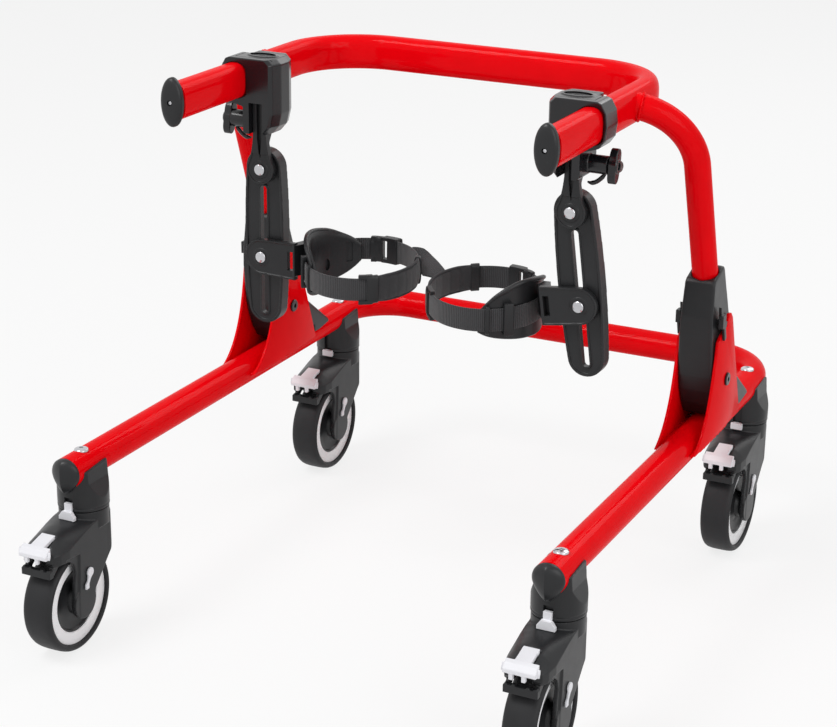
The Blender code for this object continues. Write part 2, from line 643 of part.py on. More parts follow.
def fold_housing(name, side, finish, frame):
    """Moulded housing of one upright, bored for it, for the pivot and for the latch."""
    half = HOUSING_WIDTH / 2
    outline = [(y - PIVOT_Y, z - PIVOT_Z) for y, z in housing_outline()]
    x = side * HALF_TRACK
    body = prism(outline, "X", -half, half)
    roof = lean_point(HOUSING_TOP, 0)[1] - PIVOT_Z - 0.007
    body = soften(body, 0.0050, lambda edge: (abs(edge.verts[0].co.x - edge.verts[1].co.x) < 1e-6
                                              and max(v.co.z for v in edge.verts) > -0.030)
                  or min(v.co.z for v in edge.verts) > roof)
    item = solid(name, body, finish, (x, 0, 0), frame)
    foot = lean_point(HOUSING_BORE_FLOOR, 0)
    mouth = lean_point(HOUSING_TOP + 0.010, 0)
    bore = sweep([(0, foot[0] - PIVOT_Y, foot[1] - PIVOT_Z), (0, mouth[0] - PIVOT_Y, mouth[1] - PIVOT_Z)],
                 circle(UPRIGHT_RADIUS + SEAT_GAP, 16), Vector((1, 0, 0)))
    cut(item, bore)
    saddle = sweep([(0, -0.05, -PIVOT_Z), (0, 0.12, -PIVOT_Z)], circle(RAIL_RADIUS + SIDE_GAP, 16), Vector((0, 0, 1)))
    reach = half + 0.01
    pivot = rod((-reach, 0, 0), (reach, 0, 0), PIVOT_BOLT_DIAMETER / 2 + SEAT_GAP)
    latch = rod((-reach, LATCH_Y - PIVOT_Y, LATCH_Z - PIVOT_Z), (reach, LATCH_Y - PIVOT_Y, LATCH_Z - PIVOT_Z),
                0.003 + SEAT_GAP, 12)
    cut(item, saddle)
    cut(item, join(pivot, latch))
    return item


def pivot_bolt(name, side, finish, root):
    """Bolt through both plates and the housing, with a low head at each end."""
    head = PIVOT_HEAD_DIAMETER / 2
    shank = PIVOT_BOLT_DIAMETER / 2
    seat = PLATE_OUTER + SEAT_GAP
    right = [(shank, seat), (head, seat), (head - 0.0008, seat + PIVOT_HEAD_HEIGHT), (0, seat + PIVOT_HEAD_HEIGHT)]
    left = [(radius, -place) for radius, place in reversed(right)]
    return solid(name, turned(left + right, "X", 12), finish, (side * HALF_TRACK, PIVOT_Y, PIVOT_Z), root)


def fold_latch(name, side, finish, frame):
    """Cross bar through the housing with a finger tab and a stop foot on each side."""
    near = HOUSING_WIDTH / 2 + RUNNING_GAP
    far = near + 0.0028
    bar = rod((-far, 0, 0), (far, 0, 0), 0.003, 12)
    latch = solid(name, bar, finish, (side * HALF_TRACK, LATCH_Y - PIVOT_Y, LATCH_Z - PIVOT_Z), frame)
    pivot = (PIVOT_Y - LATCH_Y, PIVOT_Z - LATCH_Z)
    sole = arc(pivot, LOBE_RADIUS + SIDE_GAP, 109, 99, 2)
    outline = [(0.0030, 0.0040), (-0.0010, 0.0150), (-0.0065, 0.0170), (-0.0045, 0.0060), (-0.0035, -0.0040)]
    outline += sole + [(sole[-1][0] + 0.0008, sole[-1][1] + 0.0050), (0.0065, -0.0010)]
    wing = [(-0.0085, 0.0060), (-0.0015, 0.0060), (0.0045, -0.0235), (-0.0015, -0.0240)]
    clear = PLATE_OUTER + RUNNING_GAP
    edge = clear + 0.0024
    cheeks = []
    webs = []
    wings = []
    for s in (-1, 1):
        cheeks.append(prism(outline, "X", min(s * near, s * far), max(s * near, s * far)))
        webs.append(block((min(s * (near + 0.001), s * edge), -0.0080, -0.0040),
                          (max(s * (near + 0.001), s * edge), 0.0010, 0.0085)))
        wings.append(prism(wing, "X", min(s * clear, s * edge), max(s * clear, s * edge)))
    add(latch, join(*cheeks))
    add(latch, join(*webs))
    add(latch, join(*wings))
    return latch


# Handle frame
def handle_path():
    """Centre line of the handle tube, from the left front end to the right one."""
    bend = UPPER_BEND_RADIUS
    rear = CROSSBAR_REAR - bend
    left = arc((-HALF_HANDLE + bend, rear), bend, 180, 90, 6)
    right = arc((HALF_HANDLE - bend, rear), bend, 90, 0, 6)
    flat = [(-HALF_HANDLE, HANDLE_FRONT)] + left + right + [(HALF_HANDLE, HANDLE_FRONT)]
    return [(x, y, HANDLE_RISE) for x, y in flat]


def upright_path(side):
    """Centre line of an upright: out of the handle tube, round the shoulder and down."""
    lean = UPRIGHT_LEAN
    weld = Vector((HALF_HANDLE + HANDLE_TUBE_WIDTH / 2, SHOULDER_DEPTH, HANDLE_RISE))
    corner_y, corner_z = lean_point(SHOULDER_CORNER_RISE / math.cos(lean), 0)
    corner = Vector((HALF_TRACK, corner_y, corner_z))
    down = Vector((0, math.sin(lean), -math.cos(lean)))
    out = corner - weld
    tangent = out.length
    out.normalize()
    turn = out.angle(down)
    radius = tangent / math.tan(turn / 2)
    inward = (down - out * down.dot(out)).normalized()
    centre = weld + inward * radius
    steps = 6
    bend = [centre + (out * math.sin(turn * i / steps) - inward * math.cos(turn * i / steps)) * radius
            for i in range(steps + 1)]
    low_y, low_z = lean_point(HOUSING_TOP - UPRIGHT_INSERTION, 0)
    points = [weld - out * (HANDLE_TUBE_WIDTH / 2)] + bend + [Vector((HALF_TRACK, low_y, low_z))]
    return [(side * point.x, point.y, point.z) for point in points]


def handle_frame(finish, frame, origin):
    """Handle tube with both uprights welded on, bored at the front for the end caps."""
    section = flat_sided(HANDLE_TUBE_WIDTH, HANDLE_TUBE_HEIGHT, 20)
    path = [Vector(point) - origin for point in handle_path()]
    item = solid("handle_frame", sweep(path, section, Vector((0, 0, 1))), finish, parent=frame)
    uprights = []
    for side in (-1, 1):
        points = upright_path(side)
        across = Vector((0, math.cos(UPRIGHT_LEAN), math.sin(UPRIGHT_LEAN)))
        uprights.append(sweep([Vector(point) - origin for point in points], circle(UPRIGHT_RADIUS, 16), across))
    add(item, join(*uprights))
    inner = flat_sided(HANDLE_TUBE_WIDTH - 2 * HANDLE_WALL, HANDLE_TUBE_HEIGHT - 2 * HANDLE_WALL, 20)
    bores = []
    for side in (-1, 1):
        start = Vector((side * HALF_HANDLE, HANDLE_FRONT - 0.01, HANDLE_RISE)) - origin
        end = Vector((side * HALF_HANDLE, HANDLE_FRONT + 0.020, HANDLE_RISE)) - origin
        bores.append(sweep([start, end], inner, Vector((0, 0, 1))))
    cut(item, join(*bores))
    return item


def handle_cap(name, side, finish, frame, origin):
    """Oval domed cap with a stem in the handle tube and a recess for its screw."""
    rings = []
    inset = HANDLE_WALL + SEAT_GAP
    stem = flat_sided(HANDLE_TUBE_WIDTH - 2 * inset, HANDLE_TUBE_HEIGHT - 2 * inset, 20)
    for y in (0.016, -SEAT_GAP):
        rings.append([(x, y, z) for x, z in stem])
    for y, share in ((-SEAT_GAP, 0.98), (-0.0040, 1.0), (-0.0062, 0.86), (-0.0078, 0.60), (-0.0084, 0.30)):
        rings.append([(CAP_WIDTH / 2 * share * x, y, CAP_HEIGHT / 2 * share * z) for x, z in circle(1.0, 20)])
    place = Vector((side * HALF_HANDLE, HANDLE_FRONT, HANDLE_RISE)) - origin
    item = solid(name, loft(rings), finish, place, frame)
    cut(item, rod((0, -0.02, 0), (0, -0.0060, 0), 0.0035, 12))
    return item


# Ankle guides. They are drawn as right-hand pieces, whose inward side is -X
def clamp_ring(share):
    """Front view of the clamp about the handle's axis. The share draws the inner side in."""
    top = HANDLE_TUBE_HEIGHT / 2 + CLAMP_BAND
    low = -CLAMP_DEPTH
    outer = HANDLE_TUBE_WIDTH / 2 + CLAMP_BAND - 0.001
    reach = 0.030 + (CLAMP_REACH - 0.030) * share
    points = [(-reach + 0.005, top), (-reach, top - 0.005), (-reach, -0.030), (-reach + 0.003, low + 0.008),
              (-reach + 0.010, low), (-0.0105, low), (-0.0085, low + 0.002), (-0.0085, -0.0245)]
    points += [(0.0, -0.0225), (0.0090, -0.0195), (outer - 0.0015, -0.0120), (outer, 0.0), (outer - 0.0015, 0.0120),
               (0.0095, top - 0.0015), (0.0060, top)]
    return points


def clamp_body(name, side, finish, frame):
    """Moulded clamp round the handle, with a channel for the arm and a boss for the knob."""
    half = CLAMP_LENGTH / 2
    stations = [(-half, 0.55), (-half + 0.003, 0.72), (-half * 0.35, 0.98), (half * 0.35, 1.0),
                (half - 0.003, 0.72), (half, 0.55)]
    middle = -side * CLAMP_SHIFT
    body = loft([[(x, y + middle, z) for x, z in clamp_ring(share)] for y, share in stations])
    item = solid(name, mirrored(body, side), finish, parent=frame)
    hole = flat_sided(HANDLE_TUBE_WIDTH + 2 * SEAT_GAP, HANDLE_TUBE_HEIGHT + 2 * SEAT_GAP, 20)
    cut(item, sweep([(0, -0.04, 0), (0, 0.04, 0)], hole, Vector((0, 0, 1))))
    add(item, mirrored(shifted(turned([(0, 0), (0.0085, 0), (0.0085, 0.018), (0.0078, 0.019), (0, 0.019)], "X", 16),
                               (-0.0090, 0, -KNOB_DROP)), side))
    inner = ARM_WIDTH / 2 + SEAT_GAP
    back = ARM_BACK + SEAT_GAP
    channel = block((-ARM_OFFSET - inner, middle - half - 0.01, -CLAMP_DEPTH - 0.02), (-ARM_OFFSET + inner, back, -ARM_TOP_DROP + SEAT_GAP))
    screw = rod((-ARM_OFFSET, 0, -KNOB_DROP), (0.03, 0, -KNOB_DROP), 0.003 + SEAT_GAP, 10)
    dish = shifted(turned([(0, 0), (0.0105, 0), (0.0120, 0.004), (0, 0.004)], "Z", 20),
                   (-0.0240, middle, HANDLE_TUBE_HEIGHT / 2 + CLAMP_BAND - 0.0015))
    cut(item, mirrored(channel, side))
    cut(item, mirrored(join(screw, dish), side))
    return item


def clamp_knob(name, side, finish, frame):
    """Two-winged knob with a screw that reaches the arm's side."""
    rings = []
    for x, share in ((0.0102, 0.82), (0.0118, 1.0), (0.0170, 1.0), (0.0190, 0.84)):
        ring = []
        for i in range(20):
            angle = 2 * math.pi * i / 20
            radius = (KNOB_WAIST + (KNOB_DIAMETER / 2 - KNOB_WAIST) * math.sin(angle) ** 2) * share
            lean = angle - KNOB_LEAN
            ring.append((x, radius * math.cos(lean), radius * math.sin(lean)))
        rings.append(ring)
    item = solid(name, mirrored(loft(rings), side), finish, (0, 0, -KNOB_DROP), frame)
    tip = -ARM_OFFSET + ARM_WIDTH / 2 + SEAT_GAP
    add(item, mirrored(rod((tip, 0, 0), (0.0130, 0, 0), 0.003, 10), side))
    return item


def guide_arm(name, side, finish, frame):
    """Ribbed stem that slides in the clamp, with the upper rivet in its eye."""
    half = ARM_WIDTH / 2
    front = ARM_BACK - ARM_DEPTH
    stem = block((-half, front, 0.0235), (half, ARM_BACK, EYE_DROP - ARM_TOP_DROP))
    item = solid(name, stem, finish, parent=frame)
    eye = arc((0, 0), ARM_EYE_RADIUS, 160, 380, 12) + [(half, 0.0270), (half, 0.0330), (-half, 0.0330), (-half, 0.0270)]
    add(item, prism(eye, "Y", front, front + ARM_EYE_THICKNESS))
    flute = 0.0022
    flutes = [block((x - flute, front - 0.01, 0.0300), (x + flute, front + 0.0030, EYE_DROP - ARM_TOP_DROP + 0.01))
              for x in (-0.0034, 0.0034)]
    cut(item, join(*flutes))
    back = front + ARM_EYE_THICKNESS + SEAT_GAP + BAR_THICKNESS + SEAT_GAP
    head = RIVET_HEAD_DIAMETER / 2
    rivet = [(0, front - 0.0026), (head * 0.6, front - 0.0021), (head, front - 0.0003), (head, front + 0.001),
             (0.0040, front + 0.002), (0.0040, back), (0.0075, back), (0.0070, back + 0.0018), (0, back + 0.0018)]
    add(item, turned(rivet, "Y", 12))
    return item


def bar_outline(inset):
    """Front view of the slotted bar about its upper rivet, drawn in by an inset."""
    top = BAR_TOP_WIDTH / 2 - inset
    foot = BAR_FOOT_WIDTH / 2 - inset
    middle = BAR_MIDDLE_WIDTH / 2 - inset
    low = -BAR_LENGTH + BAR_FOOT_WIDTH / 2
    head = arc((0, 0), top, 0, 180, 7)
    tail = arc((0, low), foot, 180, 360, 7)
    return head + [(-middle, -0.055), (-middle, -0.085)] + tail + [(middle, -0.085), (middle, -0.055)]


def slotted_bar(name, finish, frame):
    """Bar with a raised rim, a hub for the upper rivet and a long slot."""
    front = ARM_BACK - ARM_DEPTH + ARM_EYE_THICKNESS + SEAT_GAP
    back = front + BAR_THICKNESS
    body = prism(bar_outline(0), "Y", front, back)
    soften(body, 0.0025, lambda edge: all(v.co.y > back - 1e-6 for v in edge.verts))
    item = solid(name, body, finish, parent=frame)
    recess = [point for point in bar_outline(0.0030) if point[1] < -0.012]
    recess = [(-0.0155, -0.0125)] + recess + [(0.0155, -0.0125)]
    cut(item, prism(recess, "Y", front - 0.01, front + 0.0012))
    half = SLOT_WIDTH / 2
    top = (0, -SLOT_TOP_DROP)
    low = (0, -BAR_LENGTH + SLOT_FOOT)
    slot = prism(arc(top, half, 0, 180, 4) + arc(low, half, 180, 360, 4), "Y", front - 0.02, back + 0.02)
    hole = rod((0, front - 0.02, 0), (0, back + 0.02, 0), 0.0040 + SEAT_GAP, 12)
    cut(item, join(slot, hole))
    return item


def slot_rivet(name, finish, frame):
    """Domed rivet through the bracket and the slot, with a washer behind the bar."""
    front = ARM_BACK - ARM_DEPTH
    back = front + ARM_EYE_THICKNESS + SEAT_GAP + BAR_THICKNESS + SEAT_GAP
    head = RIVET_HEAD_DIAMETER / 2
    shank = RIVET_DIAMETER / 2
    face = front - SEAT_GAP
    profile = [(0, face - 0.0024), (head * 0.6, face - 0.0019), (head, face - 0.0003), (head, face), (shank, face),
               (shank, back), (0.0072, back), (0.0072, back + 0.0018), (0, back + 0.0018)]
    return solid(name, turned(profile, "Y", 12), finish, parent=frame)


def ankle_bracket(name, word, finish, frame):
    """Bracket on the slot rivet: a windowed plate with a block that carries the cuff."""
    side = SIDES[word]
    front = ARM_BACK - ARM_DEPTH
    back = front + ARM_EYE_THICKNESS
    reach = BRACKET_REACH
    plate = arc((0, 0), BRACKET_RADIUS, -90, 90, 10) + [(-reach, 0.0185), (-reach, -0.0185)]
    item = solid(name, mirrored(prism(plate, "Y", front, back), side), finish, parent=frame)
    setback = LOOP_SETBACK[word]
    foot = [(-reach + 0.004, front + 0.001), (-reach - 0.0006, front + 0.0015), (-reach - 0.0050, 0.0020),
            (-reach - 0.0110, setback - 0.006), (-reach - 0.0110, setback + 0.004), (-reach + 0.0010, setback + 0.001),
            (-reach + 0.007, back - 0.001)]
    add(item, mirrored(prism(foot, "Z", -0.0145, 0.0165), side))
    window = block((-0.0350, -0.05, -0.0095), (-0.0290, 0.0, 0.0095))
    hole = rod((0, -0.05, 0), (0, 0.05, 0), RIVET_DIAMETER / 2 + SEAT_GAP, 16)
    cut(item, mirrored(join(window, hole), side))
    gap = STRAP_THICKNESS / 2 + SEAT_GAP
    loop = [(x * (LOOP_HALF_WIDTH + gap), y * (LOOP_HALF_DEPTH + gap)) for x, y in circle(1.0, 40)]
    hollow = spun(prism(loop, "Z", -0.05, 0.05), "Y", RIGHT_BRACKET_TILT if side > 0 else 0.0)
    cut(item, mirrored(shifted(hollow, loop_centre(word)), side))
    return item


def shin_cup(name, word, finish, frame):
    """Curved shell that tapers to a tip at the buckle, with a guide for the strap."""
    side = SIDES[word]
    outer = -STRAP_THICKNESS / 2 - SEAT_GAP
    inner = outer - CUP_THICKNESS
    rings = []
    for angle, low, high in CUP_RIM:
        lip = CUP_LIP * max(0.0, min(1.0, (high - CUP_LIP_RISE) / 0.008))
        section = [(inner, low), (outer, low), (outer, high - 0.006), (outer + lip, high), (inner + lip, high),
                   (inner, high - 0.006)]
        rings.append(cuff_ring(CUP_TURN[word] + math.radians(angle), section))
    item = solid(name, mirrored(loft(rings), side), finish, parent=frame)
    middle = strap_rise(CUP_TURN[word])
    low = middle - STRAP_WIDTH / 2 - SIDE_GAP
    high = middle + STRAP_WIDTH / 2 + SIDE_GAP
    near = STRAP_THICKNESS / 2 + SEAT_GAP
    far = near + 0.0030
    wall = 0.0040
    section = [(outer - 0.002, low - wall), (far, low - wall), (far, high + wall), (outer - 0.002, high + wall),
               (outer - 0.002, high), (near, high), (near, low), (outer - 0.002, low)]
    guide = [cuff_ring(CUP_TURN[word] + math.radians(angle), section) for angle in (-4.5, 0, 4.5)]
    add(item, mirrored(loft(guide), side))
    slot = [(inner - 0.01, -0.0190), (outer + 0.02, -0.0190), (outer + 0.02, -0.0080), (inner - 0.01, -0.0080)]
    spots = [cuff_ring(CUP_TURN[word] + math.radians(angle), slot) for angle in (-54.0, -50.5)]
    cut(item, mirrored(loft(spots), side))
    return item


def loop_centre(word):
    """Middle of the cuff in the frame of a right-hand bracket that hangs straight."""
    drop = Vector((-LOOP_REACH[word], LOOP_SETBACK[word], LOOP_RISE[word]))
    tilt = RIGHT_BRACKET_TILT if word == "right" else 0.0
    return Matrix.Rotation(tilt, 3, "Y") @ drop


def cuff_ring(angle, section):
    """Points of a (distance outward, rise) section at an angle round the cuff.

    The angle starts at the outward side and grows towards the front.
    """
    out = Vector((math.cos(angle) / LOOP_HALF_WIDTH, -math.sin(angle) / LOOP_HALF_DEPTH, 0)).normalized()
    centre = Vector((LOOP_HALF_WIDTH * math.cos(angle), -LOOP_HALF_DEPTH * math.sin(angle), 0))
    return [centre + out * distance + Vector((0, 0, rise)) for distance, rise in section]


def strap_rise(angle):
    """Height of the strap's middle at an angle round the cuff."""
    return -STRAP_DROP - STRAP_SLOPE * LOOP_HALF_DEPTH * math.sin(angle)


def ankle_strap(name, word, finish, frame):
    """Webbing loop with its padded sleeve and its buckle, lying on the cup at both ends."""
    side = SIDES[word]
    tip = CUP_TURN[word] + math.radians(263.0)
    sleeve = SLEEVE_START[word]
    step = math.radians(1.0)
    buckle = tip - math.radians(7.0) - BUCKLE_SPREAD
    stretches = [(math.radians(-12.0), sleeve, 13, STRAP_THICKNESS, STRAP_WIDTH),
                 (sleeve + step, sleeve + SLEEVE_SPREAD, 8, SLEEVE_THICKNESS, SLEEVE_WIDTH),
                 (sleeve + SLEEVE_SPREAD + step, buckle, 4, STRAP_THICKNESS, STRAP_WIDTH),
                 (buckle + step, buckle + BUCKLE_SPREAD, 4, BUCKLE_THICKNESS, BUCKLE_WIDTH),
                 (buckle + BUCKLE_SPREAD + 3 * step, tip + math.radians(9.0), 3, STRAP_THICKNESS, STRAP_WIDTH)]
    rings = []
    for start, end, steps, thickness, height in stretches:
        for i in range(steps + 1):
            angle = start + (end - start) * i / steps
            low = strap_rise(angle) - height / 2
            high = strap_rise(angle) + height / 2
            half = thickness / 2
            rings.append(cuff_ring(angle, [(-half, low), (half, low), (half, high), (-half, high)]))
    return solid(name, mirrored(loft(rings), side), finish, parent=frame)


# Assembly
def build_casters(root, black, rubber, white, steel):
    for corner, (side, stem_y) in CORNERS.items():
        caster_socket("caster_socket_" + corner, side, stem_y, black, root)
        mounting_bolt("mounting_bolt_" + corner, side, stem_y, steel, root)
        swivel_lock("swivel_lock_" + corner, side, stem_y, corner.startswith("front"), white, root)
        swivel = empty("swivel_axis_" + corner, (side * HALF_TRACK, stem_y, 0), root)
        fork("fork_" + corner, corner, black, swivel)
        brake_pedal("brake_pedal_" + corner, white, swivel)
        side_lever("side_lever_" + corner, white, swivel)
        axle = empty("wheel_axis_" + corner, (0, -TRAIL, -AXLE_DROP), swivel)
        wheel_rim("wheel_rim_" + corner, white, axle)
        tyre("tyre_" + corner, rubber, axle)


def build_guides(carriage, origin, black, webbing, steel):
    for word, side in SIDES.items():
        place = Vector((side * HALF_HANDLE, CLAMP_PLACE, HANDLE_RISE)) - origin
        clamp = empty("clamp_axis_" + word, place, carriage)
        clamp_body("clamp_body_" + word, side, black, clamp)
        clamp_knob("clamp_knob_" + word, side, black, clamp)
        eye = empty("bar_axis_" + word, (-side * ARM_OFFSET, 0, -EYE_DROP), clamp)
        guide_arm("guide_arm_" + word, side, black, eye)
        bar = empty("bar_frame_" + word, (0, 0, 0), eye)
        tilt = RIGHT_BAR_TILT if side > 0 else 0.0
        bar.rotation_euler = (0, -tilt, 0)
        slotted_bar("slotted_bar_" + word, black, bar)
        slot_rivet("slot_rivet_" + word, steel, empty("slot_axis_" + word, (0, 0, -SLOT_RIVET_PLACE), bar))
        drop = Vector((math.sin(tilt), 0, -math.cos(tilt))) * SLOT_RIVET_PLACE
        bracket = empty("bracket_axis_" + word, drop, eye)
        lean = RIGHT_BRACKET_TILT if side > 0 else 0.0
        bracket.rotation_euler = (0, -lean, 0)
        ankle_bracket("ankle_bracket_" + word, word, black, bracket)
        centre = loop_centre(word)
        cuff = empty("cuff_frame_" + word, (side * centre.x, centre.y, centre.z), bracket)
        cuff.rotation_euler = (0, lean, 0)
        shin_cup("shin_cup_" + word, word, black, cuff)
        ankle_strap("ankle_strap_" + word, word, webbing, cuff)


def main():
    clear_scene()
    red = material("red_paint", (0.68, 0.008, 0.012), 0.25)
    black = material("black_plastic", (0.022, 0.023, 0.025), 0.5)
    rubber = material("black_rubber", (0.028, 0.029, 0.031), 0.7)
    white = material("white_plastic", (0.80, 0.80, 0.82), 0.4)
    steel = material("steel", (0.60, 0.60, 0.62), 0.25, 1.0)
    webbing = material("black_webbing", (0.018, 0.018, 0.020), 0.85)

    root = empty("trainer", (0, (FRONT_REACH - REAR_REACH) / 2, RAIL_RISE))
    lower_frame(red, root)
    for word, side in SIDES.items():
        rail_plug("rail_plug_" + word, side, black, root)
        pivot_bolt("pivot_bolt_" + word, side, black, root)
    build_casters(root, black, rubber, white, steel)

    fold = empty("fold_axis", (0, PIVOT_Y, PIVOT_Z), root)
    for word, side in SIDES.items():
        fold_housing("fold_housing_" + word, side, black, fold)
        fold_latch("fold_latch_" + word, side, black, fold)
    origin = Vector((0, PIVOT_Y, PIVOT_Z))
    carriage = empty("height_slide", (0, 0, 0), fold)
    handle_frame(red, carriage, origin)
    for word, side in SIDES.items():
        handle_cap("handle_cap_" + word, side, black, carriage, origin)
    build_guides(carriage, origin, black, webbing, steel)


main()
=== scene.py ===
"""Looks of a gait trainer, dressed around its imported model.

Sizes are in metres. +X is the right-hand side, +Y the rear and +Z up. Pieces are drawn in
the rail frame, whose origin lies midway between the front ends of the two rails, or about
the axis of their own joint, and their places are then baked into their meshes.
"""
import logging
import math
from collections.abc import Callable, Iterator, Sequence
from contextlib import contextmanager
from dataclasses import dataclass
from enum import Enum

import bmesh
import bpy
from mathutils import Matrix, Vector


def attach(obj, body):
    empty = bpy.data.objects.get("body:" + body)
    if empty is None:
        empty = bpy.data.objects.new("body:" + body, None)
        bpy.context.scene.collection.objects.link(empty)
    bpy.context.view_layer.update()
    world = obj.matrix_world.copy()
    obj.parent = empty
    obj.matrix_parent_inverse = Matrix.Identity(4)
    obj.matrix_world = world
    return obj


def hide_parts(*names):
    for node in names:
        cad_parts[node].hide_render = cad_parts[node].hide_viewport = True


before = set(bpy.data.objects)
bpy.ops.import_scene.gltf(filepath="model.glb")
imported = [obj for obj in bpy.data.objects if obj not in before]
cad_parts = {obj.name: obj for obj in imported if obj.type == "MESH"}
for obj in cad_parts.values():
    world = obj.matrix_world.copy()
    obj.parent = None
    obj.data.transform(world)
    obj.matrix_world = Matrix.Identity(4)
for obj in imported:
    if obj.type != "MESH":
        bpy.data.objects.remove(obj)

Piece = bpy.types.Object
Point = Sequence[float]
RAIL_FRAME = Matrix.Translation((0.0, -0.27775, 0.174))
LEAN = math.radians(20.1)
UPRIGHT_FOOT = 0.43
log = logging.getLogger("gait_trainer")


class Axis(Enum):
    """A direction of the model, with the plane square to it."""

    X = (1.0, 0.0, 0.0)
    Y = (0.0, 1.0, 0.0)
    Z = (0.0, 0.0, 1.0)

    @property
    def along(self) -> Vector:
        """The unit vector of the axis."""
        return Vector(self.value)

    def point(self, place: float, across: Point) -> Vector:
        """A point at a place on the axis, with its two other coordinates in alphabetical order."""
        points = {Axis.X: (place, *across), Axis.Y: (across[0], place, across[1]), Axis.Z: (*across, place)}
        return Vector(points[self])


class Side(Enum):
    """Left or right half of the model."""

    LEFT = -1
    RIGHT = 1

    @property
    def word(self) -> str:
        """The side's name in lower case."""
        return self.name.lower()

    @property
    def mirror(self) -> Matrix:
        """Turns a right-hand shape into this side's shape."""
        return Matrix.Diagonal((float(self.value), 1.0, 1.0, 1.0))


class End(Enum):
    """Front or rear end of a rail."""

    FRONT = "front"
    REAR = "rear"


# Modelling
def only(*items: Piece) -> None:
    """Selects objects alone.

    Args:
        *items: The objects, of which the first becomes active.
    """
    bpy.ops.object.select_all(action="DESELECT")
    for item in items:
        item.select_set(True)
    bpy.context.view_layer.objects.active = items[0]


def drop(*items: Piece) -> None:
    """Deletes objects that are used up."""
    for item in items:
        bpy.data.objects.remove(item, do_unlink=True)


@contextmanager
def editing(item: Piece) -> Iterator[None]:
    """Opens a mesh in edit mode with nothing selected, and leaves edit mode at the end.

    Args:
        item: The object to edit.
    """
    only(item)
    bpy.ops.object.mode_set(mode="EDIT")
    bpy.ops.mesh.select_mode(type="FACE")
    bpy.ops.mesh.select_all(action="DESELECT")
    try:
        yield
    finally:
        bpy.ops.object.mode_set(mode="OBJECT")


def start(kind: str, name: str, **settings: object) -> Piece:
    """Adds a primitive at its size and place, alone in the selection.

    Args:
        kind: Blender's word for the primitive, such as cube or circle.
        name: Its name.
        **settings: The primitive's own settings.

    Returns:
        The new object, with its place in its mesh.
    """
    bpy.ops.object.select_all(action="DESELECT")
    getattr(bpy.ops.mesh, f"primitive_{kind}_add")(**settings)
    item = bpy.context.active_object
    item.name = name
    bpy.ops.object.transform_apply(location=True, rotation=True, scale=True)
    return item


def outline(name: str, points: Sequence[Point], axis: Axis, place: float) -> Piece:
    """Makes one flat face with a given outline.

    Args:
        name: Its name.
        points: Corners of the outline, in the plane square to the axis.
        axis: Direction that the face looks along.
        place: The face's place on the axis.

    Returns:
        The object with the face.
    """
    item = start("circle", name, vertices=len(points), radius=1.0, fill_type="NGON")
    for corner, point in zip(item.data.vertices, points):
        corner.co = axis.point(place, point)
    item.data.update()
    return item


def plate(name: str, points: Sequence[Point], axis: Axis, low: float, high: float) -> Piece:
    """Extrudes an outline into a plate.

    Args:
        name: Its name.
        points: Corners of the outline, in the plane square to the axis.
        axis: Direction of the plate's thickness.
        low: Where the plate starts on the axis.
        high: Where it ends.

    Returns:
        The plate.
    """
    item = outline(name, points, axis, low)
    with editing(item):
        bpy.ops.mesh.select_all(action="SELECT")
        bpy.ops.mesh.extrude_region_move(TRANSFORM_OT_translate={"value": axis.along * (high - low)})
        bpy.ops.mesh.select_all(action="SELECT")
        bpy.ops.mesh.normals_make_consistent(inside=False)
    return item


def lathe(name: str, profile: Sequence[Point], axis: Axis, steps: int) -> Piece:
    """Spins a profile round an axis through the origin.

    Args:
        name: Its name.
        profile: (radius, place) points. A profile that ends on the axis is left open there.
        axis: The axis of the spin.
        steps: Number of facets.

    Returns:
        The closed turned shape.
    """
    item = start("circle", name, vertices=len(profile), radius=1.0)
    for corner, (radius, place) in zip(item.data.vertices, profile):
        corner.co = axis.point(place, (0.0, radius))
    with editing(item):
        mesh = bmesh.from_edit_mesh(item.data)
        mesh.verts.ensure_lookup_table()
        if profile[0][0] == 0 and profile[-1][0] == 0:
            seam = mesh.edges.get((mesh.verts[0], mesh.verts[-1]))
            mesh.edges.remove(seam)
        bmesh.update_edit_mesh(item.data)
        bpy.ops.mesh.select_mode(type="EDGE")
        bpy.ops.mesh.select_all(action="SELECT")
        bpy.ops.mesh.spin(steps=steps, angle=2 * math.pi, center=(0, 0, 0), axis=axis.along)
        bpy.ops.mesh.select_all(action="SELECT")
        bpy.ops.mesh.remove_doubles(threshold=1e-6)
        bpy.ops.mesh.normals_make_consistent(inside=False)
    return item


